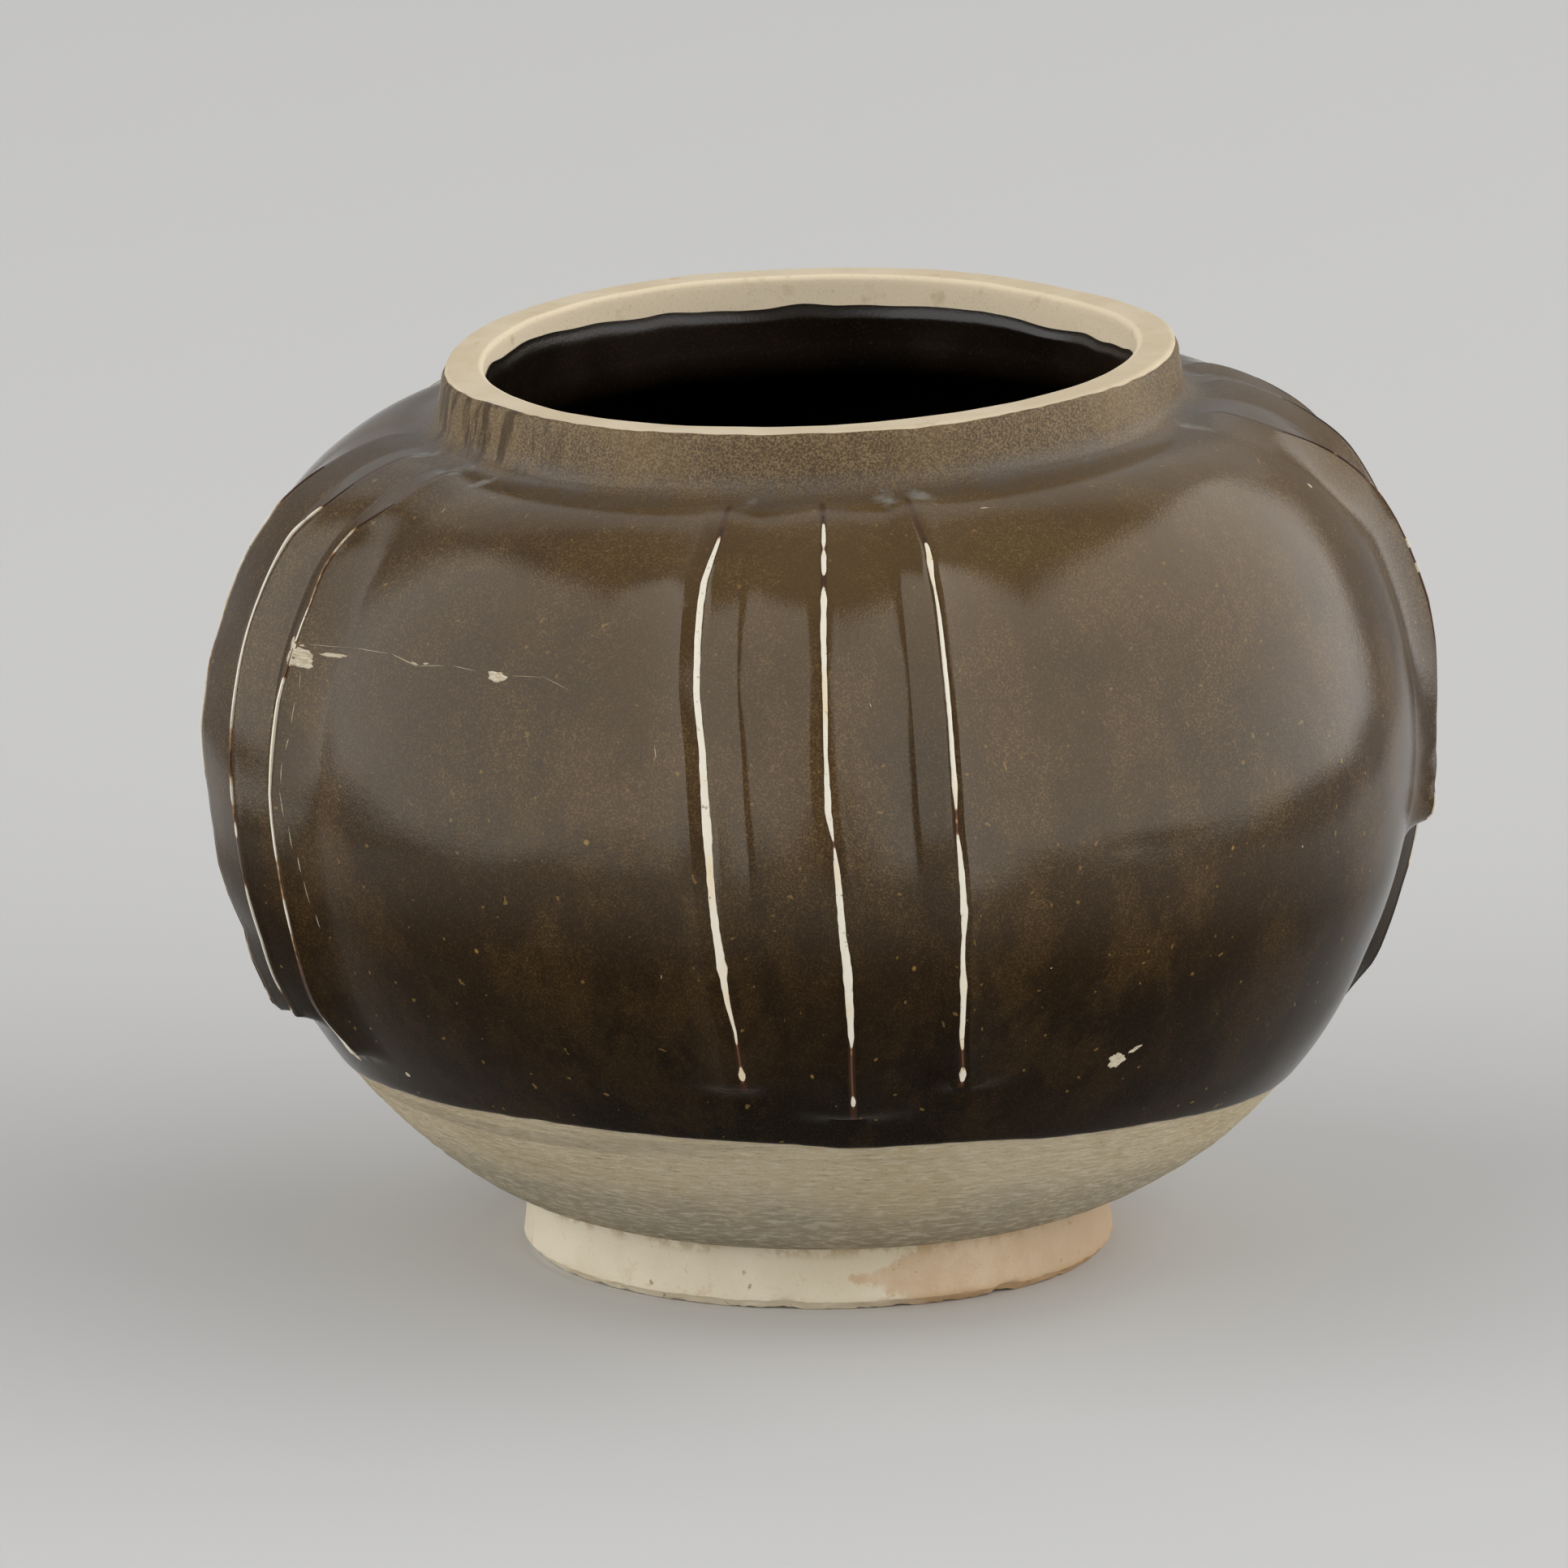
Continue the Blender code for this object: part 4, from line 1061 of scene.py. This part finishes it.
def lay_thread(rib):
    """Copies the rod and lays the copy along a rib."""
    thread = rod.copy()
    thread.data = rod.data.copy()
    thread.name = "slip_thread_" + rib["name"]
    bpy.context.scene.collection.objects.link(thread)
    top, end = rib["widths"][-1, 0] / 1000.0 + 0.0004, rib["widths"][0, 0] / 1000.0 - 0.0002
    share = (1.0 - rod_points[:, 2]) / 2.0
    height = top + (end - top) * share
    rise = (wall_radius(height + SLOPE_STEP) - wall_radius(height - SLOPE_STEP)) / (2.0 * SLOPE_STEP)
    length = np.hypot(1.0, rise)
    out_radius, out_height = 1.0 / length, -rise / length
    along_rod = np.stack([height, height * 0, rod_points[:, 0] * 0.001], axis=1)
    rough = uneven(along_rod, 0.0012, len(rib["name"]) + rib["azimuth"])
    width = bare_width(rib, height) * (1.0 + THREAD_ROUGHNESS * rough)
    shows = smooth_step((width - 0.00016) / 0.00026)
    crest = np.maximum(crest_height(rib, height), 0.0012)
    dome = np.where(rod_points[:, 1] > 0.0, rod_points[:, 1], rod_points[:, 1] * 6.0)
    up = crest + (THREAD_COVERED + THREAD_PROUD * shows) * np.clip(dome, 0.0, 1.0) ** 0.6
    up = np.where(rod_points[:, 1] > 0.05, up, crest - THREAD_DEPTH * np.clip(-rod_points[:, 1] + 0.4, 0.0, 1.0))
    across = np.sign(rod_points[:, 0]) * np.abs(rod_points[:, 0]) ** 0.7 * np.maximum(width, 0.00028) / 2.0
    ring = wall_radius(height) + out_radius * up
    turn = rib_azimuth(rib, height) + across / ring
    places = np.stack([ring * np.sin(turn), -ring * np.cos(turn), height + out_height * up], axis=1)
    put_points(thread, settle(places))
    layer = thread.data.attributes.new("bare", "FLOAT", "POINT")
    layer.data.foreach_set("value", shows.astype(np.float32))
    return thread


threads = {rib["name"]: lay_thread(rib) for rib in ribs}
bpy.data.objects.remove(rod)
print("threads:", len(threads))

# %% [markdown]
# ## Building a finish from nodes
# A finish is a stack: a body colour, broad clouding, fine speckle, then marks. These helpers add one node
# each and join it to what comes before. Patterns read Object coordinates, in metres, so a noise of scale
# 2500 makes grains of about 0.4 mm.

# %% Building a finish from nodes
def add(finish, kind, inputs, **settings):
    """Adds a node, gives it settings, and sets each input to a value or joins it to an output."""
    node = finish.node_tree.nodes.new("ShaderNode" + kind)
    for name, value in settings.items():
        setattr(node, name, value)
    for key, value in inputs.items():
        if isinstance(value, bpy.types.NodeSocket):
            finish.node_tree.links.new(value, node.inputs[key])
        else:
            node.inputs[key].default_value = value
    return node


def new_finish(name, **fixed):
    """A new material. Values that are the same all over are set on the shader itself."""
    finish = bpy.data.materials.new(name)
    finish.use_nodes = True
    shader = finish.node_tree.nodes["Principled BSDF"]
    for socket, value in fixed.items():
        shader.inputs[socket.replace("_", " ")].default_value = value
    place = add(finish, "TexCoord", {}).outputs["Object"]
    return finish, shader, place


def grain(finish, place, scale, detail=2.0, rough=0.5, stretch=(1.0, 1.0, 1.0), shift=(0.0, 0.0, 0.0)):
    """Noise from 0 to 1 over the piece."""
    moved = add(finish, "Mapping", {"Vector": place, "Scale": stretch, "Location": shift}).outputs[0]
    inputs = {"Vector": moved, "Scale": scale, "Detail": detail, "Roughness": rough}
    return add(finish, "TexNoise", inputs).outputs["Fac"]


def between(finish, value, low, high, to_low=0.0, to_high=1.0):
    """Spreads a value between two limits, and holds it there outside them."""
    inputs = {"Value": value, "From Min": low, "From Max": high, "To Min": to_low, "To Max": to_high}
    return add(finish, "MapRange", inputs, interpolation_type="SMOOTHSTEP").outputs[0]


def reckon(finish, operation, first, second=0.0):
    """One sum of two values."""
    return add(finish, "Math", {0: first, 1: second}, operation=operation).outputs[0]


def blend(finish, share, first, second):
    """Two colours mixed by a share from 0 to 1."""
    colours = {0: share}
    for key, colour in ((6, first), (7, second)):
        colours[key] = colour if isinstance(colour, bpy.types.NodeSocket) else (*colour, 1.0)
    return add(finish, "Mix", colours, data_type="RGBA").outputs[2]


def over(finish, under, colour, value, low, high, most=1.0):
    """Lays a colour over another one where a value is past two limits, up to a greatest share."""
    return blend(finish, between(finish, value, low, high, 0.0, most), under, colour)


def times(finish, first, second):
    """Two values multiplied."""
    return reckon(finish, "MULTIPLY", first, second)


def swing(finish, value, amount):
    """A noise that swings about 0 and no longer about a half, times an amount."""
    return times(finish, reckon(finish, "SUBTRACT", value, 0.5), amount)


def raise_surface(finish, shader, height, distance, strength=1.0):
    """Joins a height to the shader's normal, with its depth in metres."""
    bump = add(finish, "Bump", {"Height": height, "Distance": distance, "Strength": strength})
    finish.node_tree.links.new(bump.outputs[0], shader.inputs["Normal"])


def paint(finish, shader, colour, roughness):
    """Joins the finished colour and roughness to the shader."""
    finish.node_tree.links.new(colour, shader.inputs["Base Color"])
    finish.node_tree.links.new(roughness, shader.inputs["Roughness"])


print("helpers for nodes:", [helper.__name__ for helper in (grain, between, blend, over, swing, raise_surface, paint)])

# %% [markdown]
# ## Placing marks on a finish
# The milky pools at the neck and a few ochre spots have a place of their own on the jar. Each is a small
# ellipsoid that lies on the surface: a Mapping node of the Texture type turns Object coordinates into the
# ellipsoid's own, where its edge is at length 1. The nearest ellipsoid counts, and noise frays its edge.

# %% Placing marks on a finish
MARK_DEPTH = 0.0025


def marks(finish, place, spots, ragged, ragged_scale):
    """How far the nearest mark is, where 1 is its edge."""
    nearest = None
    for azimuth, height, half_width, half_height, turn in spots:
        centre, along, up, out = surface_frame(azimuth, height, turn)
        angles = Matrix((along, up, out)).transposed().to_euler("XYZ")
        size = (half_width / 1000.0, half_height / 1000.0, MARK_DEPTH)
        own = {"Vector": place, "Location": centre, "Rotation": angles, "Scale": size}
        local = add(finish, "Mapping", own, vector_type="TEXTURE")
        away = add(finish, "VectorMath", {0: local.outputs[0]}, operation="LENGTH").outputs["Value"]
        nearest = away if nearest is None else reckon(finish, "MINIMUM", nearest, away)
    return reckon(finish, "ADD", nearest, swing(finish, grain(finish, place, ragged_scale, 3.0, 0.6), ragged))


# Each mark is (azimuth in degrees, height, half width and half height in mm, turn in degrees).
POOLS = [
    (-8.4, 127, 0.9, 0.35, 0), (-2.2, 126, 1.3, 0.45, 8), (10.6, 126.9, 1.3, 0.8, 10),
    (15.4, 126.8, 2, 0.7, -18), (-53, 126.3, 0.9, 0.8, 0), (-60.5, 127, 2.4, 0.7, 4), (-72, 127, 1.2, 0.9, 0),
    (71, 127.2, 1.2, 1.3, 10), (104, 127, 1.6, 0.7, 0), (158, 127, 1.8, 0.7, 0), (212, 127, 1.7, 0.7, 0),
]
OCHRE_SPOTS = [
    (-22.4, 81.1, 0.5, 0.5, 0), (-0.7, 46.8, 0.45, 0.6, 0), (9.1, 63.3, 0.35, 0.45, 0), (43, 76, 0.35, 0.4, 0),
    (60, 84, 0.3, 0.45, 0), (-35, 62, 0.4, 0.4, 0),
]
print("pools:", len(POOLS), "ochre spots:", len(OCHRE_SPOTS))

# %% [markdown]
# ## Brown glaze
# An iron glaze over a buff body: warm brown where it is thin, near black where it ran thick above its
# lower edge, which is partly painted shade, and crowded with ochre crystals a third of a millimetre across.
# It is duller and greyer on the collar, with a painted grey sheen round the collar's foot, and lighter brown
# high on the shoulder, partly its crystals and partly a painted sheen stronger on the right. It is milky where
# it pooled at the neck, and red where it thinned over a rib. In the photograph its lower half mirrors a dark
# room. Here it would mirror the pale floor, so its shine is less there.

# %% Brown glaze: its body and crystals
NEAR_BLACK = (0.0040, 0.0021, 0.0008)
WARM_BROWN = (0.053, 0.0275, 0.0082)
PALE_BROWN = (0.070, 0.037, 0.0115)
DARK_CLOUD = (0.020, 0.0105, 0.0038)
SHOULDER_CRYSTAL_AND_SHEEN_BROWN = (0.105, 0.064, 0.024)
FINE_OCHRE = ((0.118, 0.069, 0.028), (0.198, 0.120, 0.045))
FLECK_OCHRE = (0.270, 0.160, 0.045)

glaze, glaze_shader, place = new_finish("brown_glaze", IOR=1.5, Specular_Tint=(1.0, 0.93, 0.80, 1.0))
split = add(glaze, "SeparateXYZ", {0: place})
height, across = split.outputs["Z"], split.outputs["X"]
leaning = reckon(glaze, "SUBTRACT", height, times(glaze, across, math.tan(MOUTH_TILT)))
crest = add(glaze, "Attribute", {}, attribute_name="crest").outputs["Fac"]
clouds = grain(glaze, place, 24.0, 3.0, 0.6)
patches = grain(glaze, place, 85.0, 4.0, 0.65, stretch=(1.0, 1.0, 0.6), shift=(5.0, 2.0, 7.0))
fine = grain(glaze, place, 3100.0, 2.0, 0.65)
medium = grain(glaze, place, 900.0, 3.0, 0.6)

# Painted shade: towards its lower edge the glaze darkens to near black, partly thick glaze and partly painted shade.
thin_and_unshaded_share = between(glaze, reckon(glaze, "ADD", height, swing(glaze, patches, 0.022)), 0.034, 0.108)
ground = blend(glaze, thin_and_unshaded_share, NEAR_BLACK, WARM_BROWN)
pale = times(glaze, between(glaze, patches, 0.44, 0.62, 0.0, 0.55), between(glaze, thin_and_unshaded_share, 0.0, 1.0, 0.25, 1.0))
ground = blend(glaze, pale, ground, PALE_BROWN)
ground = over(glaze, ground, DARK_CLOUD, clouds, 0.44, 0.62, 0.40)
# Painted sheen: lighter brown high on the shoulder, partly the crystals there and partly a painted sheen that is
# stronger on the right.
high = times(glaze, between(glaze, height, 0.105, 0.121), between(glaze, across, -0.045, 0.0, 0.15, 0.6))
ground = blend(glaze, high, ground, SHOULDER_CRYSTAL_AND_SHEEN_BROWN)
crystal = blend(glaze, between(glaze, patches, 0.40, 0.60), *FINE_OCHRE)
crowded = times(glaze, between(glaze, fine, 0.44, 0.66), between(glaze, medium, 0.34, 0.60, 0.45, 1.0))
crowded = times(glaze, crowded, between(glaze, thin_and_unshaded_share, 0.0, 1.0, 0.10, 0.62))
brown = blend(glaze, crowded, ground, crystal)
flecks = grain(glaze, place, 900.0, 0.0, 0.5, shift=(9.0, 3.0, 5.0))
brown = over(glaze, brown, FLECK_OCHRE, flecks, 0.815, 0.850, 0.5)
print("nodes so far:", len(glaze.node_tree.nodes))

# %% Brown glaze: the collar, the pools and the crests
COLLAR_GROUND = ((0.098, 0.067, 0.041), (0.148, 0.102, 0.053))
COLLAR_GRAINS = (0.265, 0.190, 0.100)
COLLAR_RUNS = (0.040, 0.022, 0.010)
NECK_SHEEN_GREY = (0.125, 0.112, 0.104)
MILKY = (0.38, 0.39, 0.37)
SPOT_OCHRE = (0.33, 0.20, 0.045)
CREST_RED = (0.060, 0.024, 0.0105)

collar_share = between(glaze, leaning, 0.1255, 0.1295)
collar_brown = blend(glaze, between(glaze, patches, 0.40, 0.62), *COLLAR_GROUND)
collar_brown = over(glaze, collar_brown, COLLAR_GRAINS, fine, 0.40, 0.64)
runs = grain(glaze, place, 420.0, 3.0, 0.6, stretch=(1.0, 1.0, 0.16), shift=(2.0, 8.0, 1.0))
to_left = between(glaze, across, -0.030, -0.050)
dark_runs = times(glaze, between(glaze, runs, 0.46, 0.62), between(glaze, to_left, 0.0, 1.0, 0.12, 0.8))
collar_brown = blend(glaze, dark_runs, collar_brown, COLLAR_RUNS)
brown = blend(glaze, times(glaze, collar_share, 0.92), brown, collar_brown)
# Painted reflection: a grey band round the collar's foot stands for the sheen that shows there.
neck_sheen_band = times(glaze, between(glaze, leaning, 0.1256, 0.1272), between(glaze, leaning, 0.1312, 0.1282))
sheen_greyed = times(glaze, neck_sheen_band, between(glaze, patches, 0.3, 0.6, 0.55, 0.15))
brown = blend(glaze, sheen_greyed, brown, NECK_SHEEN_GREY)
pools = between(glaze, marks(glaze, place, POOLS, 2.2, 700.0), 1.6, 0.1)
brown = blend(glaze, times(glaze, pools, 0.52), brown, MILKY)
brown = over(glaze, brown, SPOT_OCHRE, marks(glaze, place, OCHRE_SPOTS, 0.8, 2000.0), 1.1, 0.5, 0.75)
brown = over(glaze, brown, CREST_RED, crest, 0.30, 0.90, 0.75)
print("nodes so far:", len(glaze.node_tree.nodes))

# %% Brown glaze: its shine
LOW_SHINE, HIGH_SHINE = 0.08, 0.45
ROUGHNESS = (0.085, 0.135)

rough = between(glaze, clouds, 0.3, 0.7, *ROUGHNESS)
rough = reckon(glaze, "ADD", rough, times(glaze, collar_share, 0.26))
rough = reckon(glaze, "ADD", rough, times(glaze, fine, 0.05))
shine = between(glaze, height, 0.060, 0.077, LOW_SHINE, HIGH_SHINE)
shine = reckon(glaze, "SUBTRACT", shine, times(glaze, collar_share, 0.25))
paint(glaze, glaze_shader, brown, rough)
glaze.node_tree.links.new(shine, glaze_shader.inputs["Specular IOR Level"])
raise_surface(glaze, glaze_shader, reckon(glaze, "ADD", fine, medium), 0.00002)
coat.data.materials.append(glaze)
finish_piece(coat, ["outer_glaze"])

# %% [markdown]
# ## Inner glaze
# The inside was poured with the same glaze, thicker and darker, and little light reaches it. A plain dark
# brown with a few pale grains is enough.

# %% Inner glaze
dark, dark_shader, place = new_finish("inner_brown_glaze", IOR=1.5)
clouds = grain(dark, place, 40.0, 3.0)
fine = grain(dark, place, 2300.0, 2.0)
colour = blend(dark, between(dark, clouds, 0.35, 0.7), (0.0065, 0.0040, 0.0022), (0.016, 0.0092, 0.0045))
colour = over(dark, colour, (0.10, 0.062, 0.028), fine, 0.55, 0.72, 0.15)
paint(dark, dark_shader, colour, between(dark, clouds, 0.3, 0.7, 0.24, 0.36))
raise_surface(dark, dark_shader, fine, 0.00003)
inner_coat.data.materials.append(dark)
finish_piece(inner_coat, ["inner_glaze"])

# %% [markdown]
# ## Trimmed clay
# The bare belly is buff under the glaze and greyer near the foot, with painted shade that darkens it towards the
# foot and most just above it, and the trimming tool tore it along the turning. Noise that is squeezed in height
# gives flakes that lie round the jar. The flakes in the chips carry an attribute, because freshly broken clay is
# paler.

# %% Trimmed clay
CLAY_BUFF, CLAY_GREY_AND_SHADE = (0.545, 0.455, 0.305), (0.370, 0.325, 0.238)
FRESH_CLAY = ((0.50, 0.40, 0.26), (0.74, 0.66, 0.51))

clay, clay_shader, place = new_finish("trimmed_clay", IOR=1.4, Specular_IOR_Level=0.25)
height = add(clay, "SeparateXYZ", {0: place}).outputs["Z"]
flakes = grain(clay, place, 400.0, 4.0, 0.66, stretch=(1.0, 1.0, 5.5))
torn = grain(clay, place, 1100.0, 4.0, 0.68, stretch=(0.55, 0.55, 2.6), shift=(3.0, 1.0, 2.0))
broad = grain(clay, place, 45.0, 3.0)
rings = grain(clay, place, 260.0, 2.0, 0.5, stretch=(0.03, 0.03, 1.0), shift=(1.0, 4.0, 2.0))
fine = grain(clay, place, 2600.0, 2.0)
# Painted shade: the belly turns greyer and darker towards the foot.
low = between(clay, reckon(clay, "ADD", height, swing(clay, broad, 0.012)), 0.025, 0.017)
colour = blend(clay, low, CLAY_BUFF, CLAY_GREY_AND_SHADE)
for new_colour, value, start, end, most in (
    # Painted shade: the clay just above the foot, under the belly's overhang, is darkened.
    ((0.215, 0.180, 0.122), height, 0.0150, 0.0105, 0.55),
    ((0.400, 0.315, 0.175), broad, 0.42, 0.62, 0.35),
    ((0.650, 0.575, 0.430), flakes, 0.48, 0.62, 0.62),
    ((0.270, 0.225, 0.150), flakes, 0.42, 0.30, 0.45),
    ((0.200, 0.165, 0.110), torn, 0.40, 0.30, 0.55),
    ((0.235, 0.200, 0.140), rings, 0.40, 0.30, 0.35),
    ((0.240, 0.185, 0.120), fine, 0.58, 0.75, 0.25),
):
    colour = over(clay, colour, new_colour, value, start, end, most)
fresh = add(clay, "Attribute", {}, attribute_name="fresh").outputs["Fac"]
broken = blend(clay, between(clay, torn, 0.35, 0.6), *FRESH_CLAY)
colour = blend(clay, times(clay, fresh, 0.92), colour, broken)
paint(clay, clay_shader, colour, between(clay, flakes, 0.3, 0.7, 0.9, 0.75))
raise_surface(clay, clay_shader, reckon(clay, "ADD", flakes, times(clay, torn, 0.6)), 0.00040)
wall.data.materials.append(clay)
finish_piece(wall, ["body_wall"])

# %% [markdown]
# ## Wiped clay of the lip
# The lip was wiped clean before the firing, so it is cream and smooth, with a few stains. Inside the mouth
# the wiped band is painted paler still as painted light, which depends only on how far a spot lies from the axis.

# %% Wiped clay of the lip
cream, cream_shader, place = new_finish("wiped_clay", IOR=1.4, Specular_IOR_Level=0.3)
broad = grain(cream, place, 90.0, 3.0)
blotch = grain(cream, place, 260.0, 3.0, shift=(1.0, 2.0, 3.0))
fine = grain(cream, place, 2400.0, 2.0)
colour = blend(cream, between(cream, broad, 0.35, 0.65), (0.72, 0.615, 0.44), (0.66, 0.545, 0.375))
flat = {"Vector": place, "Location": (-MOUTH_SHIFT, 0.0, 0.0), "Scale": (1.0, 1.0, 0.0)}
from_axis = add(cream, "VectorMath", {0: add(cream, "Mapping", flat).outputs[0]}, operation="LENGTH").outputs["Value"]
# Painted light: the wiped band inside the mouth is painted paler.
colour = over(cream, colour, (0.90, 0.760, 0.545), from_axis, 0.0496, 0.0489, 0.9)
colour = over(cream, colour, (0.50, 0.36, 0.20), blotch, 0.60, 0.78, 0.5)
colour = over(cream, colour, (0.45, 0.35, 0.22), fine, 0.60, 0.75, 0.35)
paint(cream, cream_shader, colour, between(cream, broad, 0.3, 0.7, 0.68, 0.82))
raise_surface(cream, cream_shader, reckon(cream, "ADD", blotch, times(cream, fine, 0.4)), 0.00010)
collar.data.materials.append(cream)
finish_piece(collar, ["neck_collar"])

# %% [markdown]
# ## Flame-touched clay of the foot
# The foot is cream, with an orange blush on the right where the flame touched it. The blush starts in a
# ragged wedge that points to the left, which is X less a multiple of the distance from the foot's middle
# height. Its edge and its joint with the belly are stained, and its right end is darkened as painted shade.

# %% Flame-touched clay of the foot
FOOT_CREAM = ((0.850, 0.770, 0.600), (0.770, 0.675, 0.500))
FOOT_BLUSH = ((0.72, 0.545, 0.370), (0.66, 0.465, 0.290))

blush, blush_shader, place = new_finish("flame_touched_clay", IOR=1.4, Specular_IOR_Level=0.3)
split = add(blush, "SeparateXYZ", {0: place})
height, across = split.outputs["Z"], split.outputs["X"]
broad = grain(blush, place, 70.0, 3.0)
spots = grain(blush, place, 420.0, 3.0, 0.6, shift=(4.0, 2.0, 1.0))
fine = grain(blush, place, 2400.0, 2.0)
ragged = grain(blush, place, 230.0, 4.0, 0.7, shift=(2.0, 5.0, 3.0))
off_middle = reckon(blush, "ABSOLUTE", reckon(blush, "SUBTRACT", height, 0.0046))
wedge = reckon(blush, "SUBTRACT", across, times(blush, off_middle, 2.6))
flame = between(blush, reckon(blush, "ADD", wedge, swing(blush, ragged, 0.014)), 0.0035, 0.0060)
colour = blend(blush, between(blush, broad, 0.35, 0.65), *FOOT_CREAM)
colour = over(blush, colour, (0.60, 0.45, 0.27), ragged, 0.58, 0.72, 0.4)
orange = blend(blush, between(blush, ragged, 0.35, 0.65), *FOOT_BLUSH)
colour = blend(blush, times(blush, flame, 0.85), colour, orange)
# Painted shade: the foot's right end is darkened.
colour = over(blush, colour, (0.470, 0.335, 0.215), across, 0.022, 0.041, 0.75)
low_edge = times(blush, between(blush, height, 0.0024, 0.0008), between(blush, across, 0.0, 0.020, 0.15, 1.0))
colour = blend(blush, times(blush, low_edge, 0.6), colour, (0.46, 0.27, 0.11))
near_joint = times(blush, between(blush, height, 0.0072, 0.0090), between(blush, ragged, 0.44, 0.58))
colour = blend(blush, times(blush, near_joint, 0.6), colour, (0.50, 0.36, 0.19))
colour = over(blush, colour, (0.34, 0.22, 0.11), spots, 0.66, 0.74, 0.75)
colour = over(blush, colour, (0.40, 0.31, 0.19), fine, 0.62, 0.75, 0.25)
paint(blush, blush_shader, colour, between(blush, broad, 0.3, 0.7, 0.72, 0.85))
raise_surface(blush, blush_shader, reckon(blush, "ADD", spots, times(blush, fine, 0.5)), 0.00014)
foot.data.materials.append(blush)
finish_piece(foot, ["foot_ring"])

# %% [markdown]
# ## White slip
# The slip is white under a thin clear skin, cream in places, with a few pits. Where the glaze still covers
# a crest, the thread shows reddish brown, and near black at the neck. How bare each part of a thread is
# was stored with its mesh, and noise frays the change.

# %% White slip
SLIP_WHITE = ((0.85, 0.790, 0.655), (0.83, 0.700, 0.480))
SLIP_STAINED = ((0.115, 0.046, 0.020), (0.034, 0.018, 0.010))

slip, slip_shader, place = new_finish("white_slip", IOR=1.5)
bare = add(slip, "Attribute", {}, attribute_name="bare").outputs["Fac"]
broad = grain(slip, place, 75.0, 3.0)
pits = grain(slip, place, 1500.0, 2.0)
frayed = reckon(slip, "ADD", bare, swing(slip, grain(slip, place, 800.0, 3.0, 0.6), 0.7))
white = blend(slip, between(slip, broad, 0.52, 0.66), *SLIP_WHITE)
white = over(slip, white, (0.25, 0.17, 0.09), pits, 0.66, 0.75, 0.7)
top = between(slip, add(slip, "SeparateXYZ", {0: place}).outputs["Z"], 0.112, 0.122)
colour = over(slip, blend(slip, top, *SLIP_STAINED), (0.46, 0.27, 0.11), frayed, 0.18, 0.50)
colour = over(slip, colour, white, frayed, 0.42, 0.78)
paint(slip, slip_shader, colour, between(slip, broad, 0.3, 0.7, 0.42, 0.58))
raise_surface(slip, slip_shader, pits, 0.00006)
for name, thread in threads.items():
    thread.data.materials.append(slip)
    finish_piece(thread, ["slip_rib_" + name], sharp=50.0)

# %% [markdown]
# ## The finished box
# The ends of the finished pieces' box are printed between the ends of the imported solids' box.
# The box of the finished pieces has to stay inside the box of the imported solids.

# %% The finished box
finished_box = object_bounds()
for axis, letter in enumerate("xyz"):
    ends = cad_box[0][axis], finished_box[0][axis], finished_box[1][axis], cad_box[1][axis]
    print(letter, [round(float(end), 5) for end in ends])
